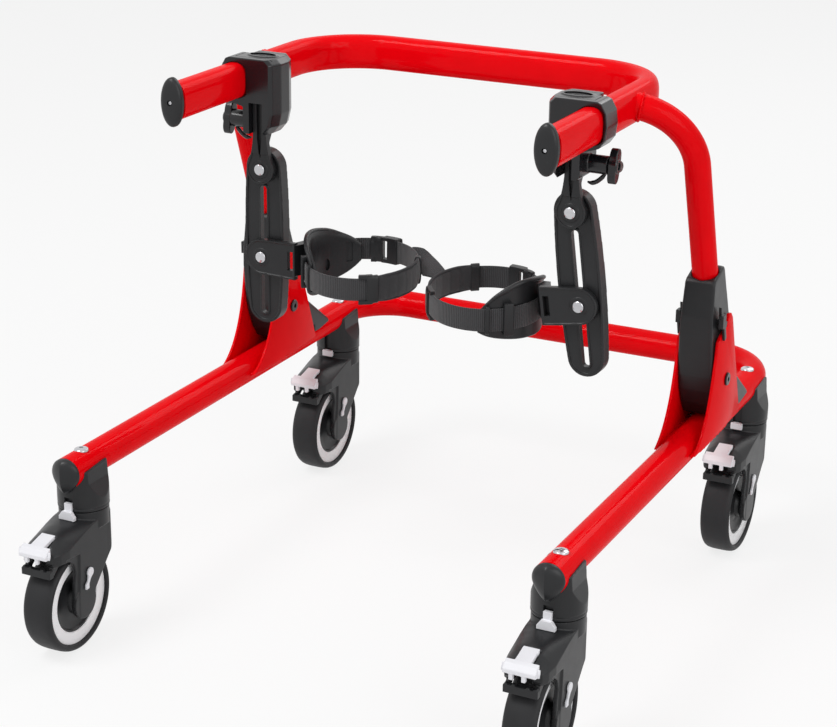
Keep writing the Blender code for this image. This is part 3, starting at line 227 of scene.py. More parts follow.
class TubeRun:
    """A tube that grows by straight stretches and bends, as on a tube bender."""

    def __init__(self, name: str, section: Sequence[Point], begin: Point, heading: Vector,
                 up: Vector) -> None:
        """Starts the tube with its closed front end.

        Args:
            name: Name of the tube's object.
            section: (side, up) points of its cross-section.
            begin: Centre of the front end.
            heading: Direction of the first stretch.
            up: Direction of the section's second coordinate.
        """
        self.place = Vector(begin)
        self.heading = heading.normalized()
        side = self.heading.cross(up).normalized()
        lift = side.cross(self.heading)
        self.item = start("circle", name, vertices=len(section), radius=1.0, fill_type="NGON")
        for corner, (across, rise) in zip(self.item.data.vertices, section):
            corner.co = self.place + side * across + lift * rise
        self.item.data.update()

    def straight(self, length: float, pieces: int = 1) -> "TubeRun":
        """Extrudes a straight stretch.

        Args:
            length: Its length.
            pieces: How many equal steps it takes.

        Returns:
            The run itself.
        """
        step = self.heading * (length / pieces)
        for _ in range(pieces):
            bpy.ops.mesh.extrude_region_move(TRANSFORM_OT_translate={"value": step})
        self.place = self.place + step * pieces
        return self

    def bend(self, towards: Vector, radius: float, angle: float, steps: int) -> "TubeRun":
        """Spins the end round a bend.

        Args:
            towards: Direction from the tube to the centre of the bend.
            radius: Radius of the centre line.
            angle: Angle of the bend.
            steps: Number of rings in it.

        Returns:
            The run itself.
        """
        inward = (towards - self.heading * towards.dot(self.heading)).normalized()
        centre = self.place + inward * radius
        axis = self.heading.cross(inward).normalized()
        bpy.ops.mesh.spin(steps=steps, angle=-angle, center=centre, axis=axis)
        turn = Matrix.Rotation(angle, 3, axis)
        self.place = centre + turn @ (self.place - centre)
        self.heading = turn @ self.heading
        return self

    def make(self, *stretches: Callable[["TubeRun"], object]) -> Piece:
        """Grows all stretches in one visit to edit mode.

        Args:
            *stretches: Each takes the run and adds one stretch.

        Returns:
            The finished tube.
        """
        with editing(self.item):
            bpy.ops.mesh.select_all(action="SELECT")
            for stretch in stretches:
                stretch(self)
            bpy.ops.mesh.select_all(action="SELECT")
            bpy.ops.mesh.remove_doubles(threshold=1e-6)
            bpy.ops.mesh.normals_make_consistent(inside=False)
        return self.item

    def loop(self, arm: float, width: float, radius: float, pieces: int, steps: int) -> Piece:
        """Grows a U: back along an arm, across to the right and forward along the other arm.

        Args:
            arm: Length of an arm, its bend included.
            width: Distance between the arms.
            radius: Radius of the bends.
            pieces: How many equal steps an arm takes.
            steps: Number of rings in a bend.

        Returns:
            The finished tube.
        """
        quarter = math.pi / 2
        return self.make(lambda run: run.straight(arm - radius, pieces),
                         lambda run: run.bend(Vector((1, 0, 0)), radius, quarter, steps),
                         lambda run: run.straight(width - 2 * radius, 6),
                         lambda run: run.bend(Vector((0, -1, 0)), radius, quarter, steps),
                         lambda run: run.straight(arm - radius, pieces))


def settle(item: Piece) -> Piece:
    """Applies every modifier of a piece.

    Args:
        item: The piece.

    Returns:
        The same piece.
    """
    only(item)
    for step in list(item.modifiers):
        bpy.ops.object.modifier_apply(modifier=step.name)
    return item


def merge(name: str, *items: Piece) -> Piece:
    """Joins pieces into one object.

    Args:
        name: Name of the result.
        *items: The pieces, which are used up.

    Returns:
        The joined object.
    """
    only(*items)
    bpy.ops.object.join()
    items[0].name = name
    return items[0]


def cut(item: Piece, *tools: Piece, operation: str = "DIFFERENCE") -> Piece:
    """Cuts shapes out of a piece, or keeps what it shares with them.

    Args:
        item: The piece.
        *tools: The cutting shapes, which are used up.
        operation: Blender's word for the Boolean.

    Returns:
        The piece.
    """
    for tool in tools:
        step = item.modifiers.new("cut", "BOOLEAN")
        step.operation = operation
        step.solver = "EXACT"
        step.object = tool
        settle(item)
        drop(tool)
    return item


def thinned(item: Piece, keep: float) -> Piece:
    """Applies what a piece still has to apply, and then keeps a share of its faces.

    Args:
        item: The piece.
        keep: Share of the faces that stay.

    Returns:
        The piece.
    """
    thin = item.modifiers.new("thin", "DECIMATE")
    thin.ratio = keep
    return settle(item)


def melt(item: Piece, grain: float, passes: int = 4, keep: float = 0.25) -> Piece:
    """Melts overlapping shapes into one moulded skin with soft edges.

    Args:
        item: The piece, made of closed shapes.
        grain: Voxel size of the skin.
        passes: How many times the skin is smoothed.
        keep: Share of the faces that stay.

    Returns:
        The piece.
    """
    skin = item.modifiers.new("skin", "REMESH")
    skin.mode = "VOXEL"
    skin.voxel_size = grain
    soft = item.modifiers.new("soft", "SMOOTH")
    soft.factor = 0.5
    soft.iterations = passes
    return thinned(item, keep)


def round_off(item: Piece, width: float, segments: int = 3, angle: float = 40.0) -> Piece:
    """Rounds the sharp edges of a piece.

    Args:
        item: The piece.
        width: Width of the rounding.
        segments: Number of facets in it.
        angle: Edges sharper than this many degrees are rounded.

    Returns:
        The piece.
    """
    step = item.modifiers.new("round", "BEVEL")
    step.width = width
    step.segments = segments
    step.limit_method = "ANGLE"
    step.angle_limit = math.radians(angle)
    step.use_clamp_overlap = True
    return settle(item)


def moved(item: Piece, matrix: Matrix) -> Piece:
    """Moves a piece's mesh and keeps its faces outward.

    Args:
        item: The piece.
        matrix: The move, which may mirror.

    Returns:
        The piece.
    """
    item.data.transform(matrix)
    if matrix.determinant() < 0:
        item.data.flip_normals()
    item.data.update()
    return item


def twin(item: Piece, name: str, matrix: Matrix) -> Piece:
    """Copies a piece, with a mesh of its own, to another place.

    Args:
        item: The piece that is copied.
        name: Name of the copy.
        matrix: Where the copy goes.

    Returns:
        The copy.
    """
    copy = item.copy()
    copy.data = item.data.copy()
    copy.name = name
    bpy.context.scene.collection.objects.link(copy)
    return moved(copy, matrix)


def block(name: str, low: Point, high: Point) -> Piece:
    """A box between two corners.

    Args:
        name: Its name.
        low: Its lowest corner.
        high: Its highest corner.

    Returns:
        The box.
    """
    centre = [(a + b) / 2 for a, b in zip(low, high)]
    size = [b - a for a, b in zip(low, high)]
    return start("cube", name, size=1.0, location=centre, scale=size)


def rod(name: str, begin: Point, end: Point, radius: float, count: int = 32) -> Piece:
    """A round bar between two points.

    Args:
        name: Its name.
        begin: Centre of one end.
        end: Centre of the other end.
        radius: Its radius.
        count: Number of facets.

    Returns:
        The bar.
    """
    line = Vector(end) - Vector(begin)
    turn = line.to_track_quat("Z", "Y").to_euler()
    return start("cylinder", name, vertices=count, radius=radius, depth=line.length,
                 location=(Vector(begin) + Vector(end)) / 2, rotation=turn)


def loft(name: str, rings: Sequence[Sequence[Point]]) -> Piece:
    """A closed skin through rings that have the same number of points.

    Args:
        name: Its name.
        rings: The rings, in order.

    Returns:
        The skin.
    """
    mesh = bmesh.new()
    loops = [[mesh.verts.new(point) for point in points] for points in rings]
    count = len(loops[0])
    for near, far in zip(loops, loops[1:]):
        for i in range(count):
            mesh.faces.new((near[i], near[(i + 1) % count], far[(i + 1) % count], far[i]))
    mesh.faces.new(loops[0])
    mesh.faces.new(loops[-1])
    bmesh.ops.recalc_face_normals(mesh, faces=mesh.faces)
    data = bpy.data.meshes.new(name)
    mesh.to_mesh(data)
    mesh.free()
    item = bpy.data.objects.new(name, data)
    bpy.context.scene.collection.objects.link(item)
    return item


def bead(name: str, path: Sequence[Vector], radius: float, count: int, lumps: float) -> Piece:
    """A weld bead or a cord: a tube along a path, slimmer at both ends.

    Args:
        name: Its name.
        path: Points that it follows.
        radius: Its mean radius.
        count: Number of rings.
        lumps: How much its radius swells and shrinks.

    Returns:
        The bead.
    """
    lengths = [(b - a).length for a, b in zip(path, path[1:])]
    whole = sum(lengths)
    around = [2 * math.pi * k / 12 for k in range(12)]
    rings = []
    for i in range(count + 1):
        rest = whole * i / count
        index = 0
        while index < len(lengths) - 1 and rest > lengths[index]:
            rest -= lengths[index]
            index += 1
        heading = (path[index + 1] - path[index]).normalized()
        centre = path[index] + heading * rest
        ends = min(1.0, 0.35 + 3.0 * min(i, count - i) / count)
        swell = radius * ends * (1 + lumps * math.sin(i * 1.9) * math.sin(i * 0.73))
        side = heading.cross(Vector((0.0, 0.0, 1.0))).normalized()
        lift = side.cross(heading)
        rings.append([centre + (side * math.cos(a) - lift * math.sin(a)) * swell for a in around])
    return loft(name, rings)


# Points
def ring(radius: float, count: int) -> list[Point]:
    """Points of a circle."""
    return arc((0.0, 0.0), radius, 0.0, 360.0 * (count - 1) / count, count - 1)


def arc(centre: Point, radius: float, begin: float, end: float, steps: int) -> list[Point]:
    """Points of an arc between two angles in degrees, both ends among them."""
    angles = [math.radians(begin + (end - begin) * i / steps) for i in range(steps + 1)]
    return [(centre[0] + radius * math.cos(a), centre[1] + radius * math.sin(a)) for a in angles]


def curve(begin: Point, control: Point, end: Point, steps: int) -> list[Point]:
    """Points of a quadratic curve that bends towards a control point, both ends among them."""
    shares = [i / steps for i in range(steps + 1)]
    return [tuple((1 - t) ** 2 * a + 2 * t * (1 - t) * b + t * t * c for a, b, c in zip(begin, control, end))
            for t in shares]


def lean(along: float, across: float) -> Point:
    """(y, z) of a point given along the upright's axis and square to it, rearward."""
    return (UPRIGHT_FOOT - along * math.sin(LEAN) + across * math.cos(LEAN),
            along * math.cos(LEAN) + across * math.sin(LEAN))


def seam_strips(low: Point, high: Point, width: float) -> list[list[Point]]:
    """Outlines of thin strips along three sides of a rectangle, all but its side of least x."""
    (x0, y0), (x1, y1) = low, high
    return [[(x0, y0), (x1, y0), (x1, y0 + width), (x0, y0 + width)],
            [(x0, y1 - width), (x1, y1 - width), (x1, y1), (x0, y1)],
            [(x1 - width, y0), (x1, y0), (x1, y1), (x1 - width, y1)]]


def smooth_through(stations: Sequence[Point], steps: int) -> list[Point]:
    """Points of a smooth curve that passes through stations.

    Args:
        stations: The stations.
        steps: Number of pieces between two stations.

    Returns:
        The finer stations.
    """
    padded = [stations[0], *stations, stations[-1]]
    fine = []
    for a, b, c, d in zip(padded, padded[1:], padded[2:], padded[3:]):
        for i in range(steps):
            t = i / steps
            fine.append(tuple(0.5 * (2 * q + (r - p) * t + (2 * p - 5 * q + 4 * r - s) * t * t
                                     + (3 * q - p - 3 * r + s) * t ** 3) for p, q, r, s in zip(a, b, c, d)))
    return fine + [tuple(stations[-1])]


def both_ways(profile: Sequence[Point]) -> list[Point]:
    """A (radius, place) profile, and then its mirror image back along the axis."""
    return [*profile, *[(radius, -place) for radius, place in reversed(profile)]]


def dome(radius: float, base: float, height: float, steps: int) -> list[Point]:
    """(radius, place) points of a dome, from its edge at the base to its top on the axis."""
    angles = [math.pi / 2 * i / steps for i in range(steps)]
    return [(radius * math.cos(a), base + height * math.sin(a)) for a in angles] + [(0.0, base + height)]


def at(x: float, y: float = 0.0, z: float = 0.0) -> Matrix:
    """The frame about a point of the rail frame."""
    return RAIL_FRAME @ Matrix.Translation((x, y, z))


# Finishes
class Wire:
    """A shader value. Each sum with it adds a Math node."""

    def __init__(self, recipe: "Recipe", socket: bpy.types.NodeSocket) -> None:
        """Wraps an output socket of the recipe's tree."""
        self.recipe = recipe
        self.socket = socket

    def _sum(self, operation: str, first: object, second: object) -> "Wire":
        """Adds one Math node and wraps its output."""
        return self.recipe.node("ShaderNodeMath", {"operation": operation}, {0: first, 1: second})

    def __add__(self, other: "Wire | float") -> "Wire":
        """Self plus other."""
        return self._sum("ADD", self, other)

    def __mul__(self, other: "Wire | float") -> "Wire":
        """Self times other."""
        return self._sum("MULTIPLY", self, other)

    __radd__ = __add__
    __rmul__ = __mul__


class Recipe:
    """The node tree of a material or of the world."""

    def __init__(self, owner: bpy.types.Material | bpy.types.World) -> None:
        """Opens the nodes of a new material, with its Principled shader, or of a world.

        Args:
            owner: The material or world.
        """
        self.owner = owner
        owner.use_nodes = True
        self.tree = owner.node_tree
        self.shader = self.tree.nodes.get("Principled BSDF")

    def node(self, kind: str, settings: dict[str, object], sockets: dict[object, object],
             output: int | str = 0) -> Wire:
        """Adds a node.

        Args:
            kind: Blender's type of the node.
            settings: Its settings, set before its sockets.
            sockets: Values or wires of its inputs, by name or number.
            output: Number or name of the output that is used.

        Returns:
            The output, wrapped.
        """
        made = self.tree.nodes.new(kind)
        for key, value in settings.items():
            setattr(made, key, value)
        for key, value in sockets.items():
            self.feed(made.inputs[key], value)
        return Wire(self, made.outputs[output])

    def feed(self, socket: bpy.types.NodeSocket, value: object) -> None:
        """Links a wire to an input, or sets its value."""
        if isinstance(value, Wire):
            self.tree.links.new(value.socket, socket)
        else:
            socket.default_value = value

    def place(self, uv: str = "") -> Wire:
        """The point on the piece: on a map of its surface in metres, or by its own coordinates."""
        if uv:
            return self.node("ShaderNodeUVMap", {"uv_map": uv}, {})
        return self.node("ShaderNodeTexCoord", {}, {}, 3)

    def noise(self, scale: float, detail: float = 3.0, stretch: Point = (1.0, 1.0, 1.0)) -> Wire:
        """Cloudy values between 0 and 1, with so many waves per metre, finer along a stretched axis."""
        place = self.node("ShaderNodeMapping", {}, {"Vector": self.place(), "Scale": stretch})
        return self.node("ShaderNodeTexNoise", {}, {"Vector": place, "Scale": scale, "Detail": detail})

    def blend(self, share: object, low: Point, high: Point) -> Wire:
        """Mixes two colours by a share."""
        return self.node("ShaderNodeMix", {"data_type": "RGBA"},
                         {0: share, 6: (*low, 1.0), 7: (*high, 1.0)}, 2)

    def between(self, share: Wire, low: float, high: float) -> Wire:
        """Carries a share from 0…1 to low…high."""
        return share * (high - low) + low

    def relief(self, height: Wire, depth: float, strength: float = 1.0) -> None:
        """Feeds the shader's normal with a bump, whose height of 1 is a depth in metres."""
        bump = self.node("ShaderNodeBump", {}, {"Strength": strength, "Distance": depth, "Height": height})
        self.feed(self.shader.inputs["Normal"], bump)

    def constants(self, **values: float) -> None:
        """Sets sockets of the shader that are the same all over. Underscores stand for spaces."""
        for key, value in values.items():
            self.shader.inputs[key.replace("_", " ")].default_value = value


@dataclass(frozen=True)
class Finish:
    """A finish: its name, its slot in the record and its two shades."""

    name: str
    slot: str
    dark: Point
    light: Point
    rough: tuple[float, float]

    def make(self) -> bpy.types.Material:
        """Makes the material.

        Returns:
            The material.
        """
        recipe = Recipe(bpy.data.materials.new(self.name))
        self.colour(recipe)
        self.surface(recipe)
        return recipe.owner

    def colour(self, recipe: Recipe) -> None:
        """Clouds the colour between the two shades, and the gloss with it.

        Args:
            recipe: The nodes that it joins.
        """
        cloud = recipe.noise(38.0, 4.0)
        recipe.feed(recipe.shader.inputs["Base Color"], recipe.blend(cloud, self.dark, self.light))
        recipe.feed(recipe.shader.inputs["Roughness"], recipe.between(recipe.noise(90.0), *self.rough))

    def surface(self, recipe: Recipe) -> None:
        """Leaves the surface smooth."""


@dataclass(frozen=True)
class Paint(Finish):
    """Gloss powder coat, with a faint orange peel under a clear coat."""

    peel: float = 0.00006

    def surface(self, recipe: Recipe) -> None:
        """Adds the clear coat and the orange peel."""
        recipe.constants(Coat_Weight=0.1, Coat_Roughness=0.07, Specular_IOR_Level=0.05, IOR=1.14)
        recipe.relief(recipe.noise(420.0, 2.0), self.peel, 0.5)


@dataclass(frozen=True)
class Moulding(Finish):
    """Moulded plastic with a fine spark-eroded grain."""

    grain: float = 0.00005
    index: float = 1.36

    def surface(self, recipe: Recipe) -> None:
        """Adds the grain."""
        recipe.constants(IOR=self.index)
        recipe.relief(recipe.noise(1500.0, 2.0), self.grain, 0.6)


@dataclass(frozen=True)
class Metal(Finish):
    """Bright turned steel."""

    def surface(self, recipe: Recipe) -> None:
        """Adds the fine turning marks."""
        recipe.constants(Metallic=1.0)
        recipe.relief(recipe.noise(2500.0, 2.0, (0.2, 1.0, 0.2)), 0.00002, 0.4)


@dataclass(frozen=True)
class Webbing(Finish):
    """Woven strap: ribs across it and twisted yarns along it."""

    rib: float = 0.0019
    yarn: float = 0.0013

    def colour(self, recipe: Recipe) -> None:
        """Paints shade into the weave: the gaps between yarns darker than their tops.

        Args:
            recipe: The nodes that it joins.
        """
        weave = self.weave(recipe)
        # Painted shade: the colour follows the weave's height, darkest in the gaps.
        recipe.feed(recipe.shader.inputs["Base Color"], recipe.blend(weave, self.dark, self.light))
        recipe.feed(recipe.shader.inputs["Roughness"], recipe.between(weave, *self.rough))

    def weave(self, recipe: Recipe) -> Wire:
        """Height of the weave.

        Args:
            recipe: The nodes that it joins.

        Returns:
            The height, from 0 in a gap to 1 on a yarn.
        """
        spot = recipe.place("surface")
        along = recipe.node("ShaderNodeSeparateXYZ", {}, {0: spot})
        across = recipe.node("ShaderNodeSeparateXYZ", {}, {0: spot}, 1)
        ribs = self._wave(recipe, along, self.rib)
        yarns = self._wave(recipe, across, self.yarn)
        return ribs * 0.75 + yarns * 0.25

    def _wave(self, recipe: Recipe, distance: Wire, pitch: float) -> Wire:
        """A rounded wave along a distance in metres."""
        sine = recipe.node("ShaderNodeMath", {"operation": "SINE"}, {0: distance * (math.pi / pitch)})
        return recipe.node("ShaderNodeMath", {"operation": "ABSOLUTE"}, {0: sine})

    def surface(self, recipe: Recipe) -> None:
        """Raises the weave and gives it a faint sheen."""
        recipe.constants(Sheen_Weight=0.25, Sheen_Roughness=0.5)
        recipe.relief(self.weave(recipe), 0.0006, 0.9)


class Palette:
    """Every finish of the trainer, each made once."""

    RED = Paint("red_gloss_paint", "red_paint", (0.74, 0.0005, 0.003), (0.88, 0.001, 0.005), (0.2, 0.28))
    SATIN = Moulding("satin_black_plastic", "black_plastic", (0.012, 0.0124, 0.0136),
                     (0.021, 0.0215, 0.023), (0.3, 0.42))
    GLOSS = Moulding("gloss_black_plastic", "black_plastic", (0.004, 0.004, 0.005), (0.009, 0.009, 0.011),
                     (0.16, 0.26), 0.00002, 1.46)
    TREAD = Moulding("tyre_rubber", "black_rubber", (0.011, 0.011, 0.012), (0.022, 0.022, 0.024),
                     (0.46, 0.62), 0.00012)
    WHITE = Moulding("white_plastic_finish", "white_plastic", (0.74, 0.74, 0.78), (0.86, 0.86, 0.89),
                     (0.3, 0.42), 0.00002)
    # Painted light: a brighter copy of the white plastic, so that the wheel ring looks more lit than the
    # pedals and tabs.
    BAND = Moulding("white_wheel_finish", "white_plastic", (0.88, 0.88, 0.9), (0.95, 0.95, 0.96),
                    (0.3, 0.42), 0.00002)
    STEEL = Metal("bright_steel", "steel", (0.42, 0.42, 0.44), (0.66, 0.66, 0.68), (0.12, 0.24))
    # The dark shade of each webbing is painted shade in the gaps of its weave.
    STRAP = Webbing("strap_webbing", "black_webbing", (0.006, 0.006, 0.007), (0.032, 0.032, 0.035),
                    (0.95, 0.7))
    PAD = Webbing("sleeve_fabric", "black_webbing", (0.008, 0.008, 0.009), (0.024, 0.024, 0.027),
                  (0.95, 0.8), 0.0012, 0.0012)
    RIM = Moulding("binding_tape", "black_webbing", (0.02, 0.02, 0.022), (0.034, 0.034, 0.037),
                   (0.6, 0.8), 0.00006)
    _made: dict[str, bpy.types.Material] = {}

    @classmethod
    def of(cls, finish: Finish) -> bpy.types.Material:
        """The material of a finish."""
        if finish.name not in cls._made:
            cls._made[finish.name] = finish.make()
        return cls._made[finish.name]


def dress(item: Piece, finish: Finish, body: str, *nodes: str, angle: float = 35.0) -> Piece:
    """Gives a piece its finish and its body, and hides the nodes that it stands for.

    Args:
        item: The piece, in place.
        finish: Its finish.
        body: The body that it rides on.
        *nodes: The nodes that it replaces.
        angle: Edges sharper than this many degrees stay sharp.

    Returns:
        The piece.
    """
    item.data.materials.clear()
    item.data.materials.append(Palette.of(finish))
    for face in item.data.polygons:
        face.material_index = 0
    only(item)
    bpy.ops.object.shade_smooth_by_angle(angle=math.radians(angle))
    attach(item, body)
    if nodes:
        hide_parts(*nodes)
    log.info("%s rides on %s with %d faces", item.name, body, len(item.data.polygons))
    return item


# Lower frame and handle frame
@dataclass
class LowerFrame:
    """The bent tube on the casters, its fold plates, end plugs and weld beads."""

    track: float = 0.485
    length: float = 0.6
    radius: float = 0.015
    bend: float = 0.06
    pivot_y: float = 0.3918
    pivot_z: float = 0.0535
    lobe: float = 0.057
    lobe_ends: tuple[float, float] = (0.0323, 0.0078)
    foot_reach: float = 0.084
    stop_rise: float = 0.068
    plate_top: float = 0.1175
    plate_back: float = 0.0123
    plate_inner: float = 0.018
    plate_outer: float = 0.021
    weld_place: float = 0.0168

    def build(self) -> None:
        """Builds and dresses every piece of the lower frame."""
        self.tube()
        self.fold_plates()
        self.plugs()

    def tube(self) -> None:
        """Bends the lower tube."""
        begin = (-self.track / 2, 0, 0)
        run = TubeRun("lower_tube", ring(self.radius, 48), begin, Axis.Y.along, Axis.Z.along)
        item = run.loop(self.length, self.track, self.bend, 8, 24)
        dress(moved(item, RAIL_FRAME), Palette.RED, "base", "lower_frame")

    def plate_points(self) -> list[Point]:
        """Side view of a fold plate: long foot, round lobe, stop and straight back.

        Returns:
            The outline, in the plane square to X.
        """
        tip = (self.pivot_y - self.foot_reach, 0.001)
        first, last = (math.degrees(math.acos(-end / self.lobe)) for end in self.lobe_ends)
        lobe = arc((self.pivot_y, self.pivot_z), self.lobe, first, last, 12)
        front = curve(tip, (self.pivot_y - self.foot_reach / 2, 0.019), lobe[0], 20)
        edge, peak = lobe[-1][0], self.pivot_z + self.stop_rise
        stop = [(edge + 0.002, peak - 0.0025), (edge + 0.005, peak), (edge + 0.0115, peak - 0.001)]
        back = [lean(along, self.plate_back) for along in (self.plate_top, -0.002)]
        return front[:-1] + lobe + stop + back

    def fold_plates(self) -> None:
        """Makes one plate with its weld and copies it to both faces of both rails."""
        sheet = plate("fold_plate", self.plate_points(), Axis.X, self.plate_inner, self.plate_outer)
        round_off(sheet, 0.0007, 2, 30.0)
        foot = [(-0.0835, 0.0015), (-0.05, 0.003), (-0.02, 0.0035), (0.01, 0.0035), (0.034, 0.003)]
        line = [Vector((self.weld_place, self.pivot_y + y, z * 0.4)) for y, z in foot]
        fillet = bead("weld", line, 0.0038, 60, 0.12)
        for side in Side:
            for face in Side:
                spot = at(side.value * self.track / 2) @ face.mirror
                tail = f"{side.word}_{face.word}"
                dress(twin(sheet, f"fold_plate_{tail}", spot), Palette.RED, "base")
                dress(twin(fillet, f"plate_weld_{tail}", spot), Palette.RED, "base", angle=60.0)
        drop(sheet, fillet)

    def plugs(self) -> None:
        """Makes the domed plug of the front ends, with its ridge and its beak."""
        rings = [(-0.0002, 0.93), (-0.0008, 1.0), (-0.003, 1.0), (-0.005, 0.965), (-0.007, 0.89),
                 (-0.0088, 0.77), (-0.01, 0.6), (-0.0107, 0.38), (-0.011, 0.15), (-0.011, 0.0)]
        profile = [(0.0, rings[0][0])] + [(self.radius * share, y) for y, share in rings]
        plug = lathe("rail_plug", profile, Axis.Y, 64)
        for corner in plug.data.vertices:
            low = max(0.0, -corner.co.z / self.radius)
            brow = abs(corner.co.x) / self.radius
            corner.co.x *= 1 - 0.25 * low ** 2
            corner.co.z *= 1 + 0.3 * low ** 2
            corner.co.y *= 1 - 0.5 * brow
        for side in Side:
            spot = at(side.value * self.track / 2)
            dress(twin(plug, f"rail_end_plug_{side.word}", spot), Palette.SATIN, "base",
                  f"rail_plug_{side.word}")
        drop(plug)


@dataclass
class HandleFrame:
    """The handle tube with its two uprights, weld beads, end caps and screws."""

    spacing: float = 0.367
    front: float = 0.11
    rear: float = 0.403
    rise: float = 0.3355
    bend: float = 0.072
    height: float = 0.034
    width: float = 0.024
    track: float = 0.485
    upright: float = 0.0125
    shoulder_y: float = 0.297
    corner_rise: float = 0.326
    low_end: float = 0.077

    def build(self) -> None:
        """Builds and dresses every piece of the handle frame."""
        self.tube()
        self.uprights()
        self.caps()

    def tube(self) -> None:
        """Bends the flat-sided handle tube."""
        corner = 2.0 / 2.8
        section = [(self.width / 2 * math.copysign(abs(x) ** corner, x),
                    self.height / 2 * math.copysign(abs(z) ** corner, z)) for x, z in ring(1.0, 64)]
        begin = (-self.spacing / 2, self.front, self.rise)
        run = TubeRun("handle_tube", section, begin, Axis.Y.along, Axis.Z.along)
        item = run.loop(self.rear - self.front, self.spacing, self.bend, 6, 28)
        dress(moved(item, RAIL_FRAME), Palette.RED, "handle", "handle_frame", angle=30.0)

    def uprights(self) -> None:
        """Bends one upright round its shoulder, rings it with its weld and copies both."""
        weld = Vector((self.spacing / 2 + self.width / 2, self.shoulder_y, self.rise))
        corner = Vector((self.track / 2, *lean(self.corner_rise / math.cos(LEAN), 0)))
        low = Vector((self.track / 2, *lean(self.low_end, 0)))
        down = Vector((0, math.sin(LEAN), -math.cos(LEAN)))
        out = (corner - weld).normalized()
        turn = out.angle(down)
        radius = (corner - weld).length / math.tan(turn / 2)
        sunk = self.width / 2 - 0.002
        run = TubeRun("upright", ring(self.upright, 40), weld - out * sunk, out, down)
        item = run.make(lambda r: r.straight(sunk),
                        lambda r: r.bend(down, radius, turn, 28),
                        lambda r: r.straight((low - r.place).length, 6))
        across = out.cross(down).normalized()
        lift = across.cross(out)
        reach = self.upright + 0.0002
        loop = [weld + (across * math.cos(a) + lift * math.sin(a)) * reach + out * 0.0006
                for a in [2 * math.pi * i / 48 for i in range(49)]]
        collar = bead("collar", loop, 0.0014, 144, 0.22)
        for side in Side:
            spot = RAIL_FRAME @ side.mirror
            dress(twin(item, f"upright_tube_{side.word}", spot), Palette.RED, "handle")
            dress(twin(collar, f"upright_weld_{side.word}", spot), Palette.RED, "handle", angle=60.0)
        drop(item, collar)

    def caps(self) -> None:
        """Makes the oval domed cap with its sunk screw and copies both."""
        profile = [(0.0, 0.0), (0.9, 0.0), (1.0, -0.001), (1.0, -0.0036), (0.985, -0.0048), (0.95, -0.0058),
                   (0.86, -0.0069), (0.72, -0.0077), (0.5, -0.0082), (0.25, -0.0084), (0.0, -0.0084)]
        cap = moved(lathe("cap", profile, Axis.Y, 72), Matrix.Diagonal((0.01125, 1.0, 0.0229, 1.0)))
        cut(cap, rod("recess", (0, -0.02, 0), (0, -0.0062, 0), 0.0026))
        head = [(0.0, -0.008), (0.0009, -0.0079), (0.0018, -0.0075), (0.0022, -0.007), (0.0022, -0.0061),
                (0.0, -0.0061)]
        screw = lathe("screw", head, Axis.Y, 24)
        cut(screw, rod("socket", (0, -0.02, 0), (0, -0.0072, 0), 0.0009, 6))
        for side in Side:
            spot = at(side.value * self.spacing / 2, self.front, self.rise)
            dress(twin(cap, f"handle_end_cap_{side.word}", spot), Palette.SATIN, "handle",
                  f"handle_cap_{side.word}")
            dress(twin(screw, f"cap_screw_{side.word}", spot), Palette.STEEL, "handle")
        drop(cap, screw)


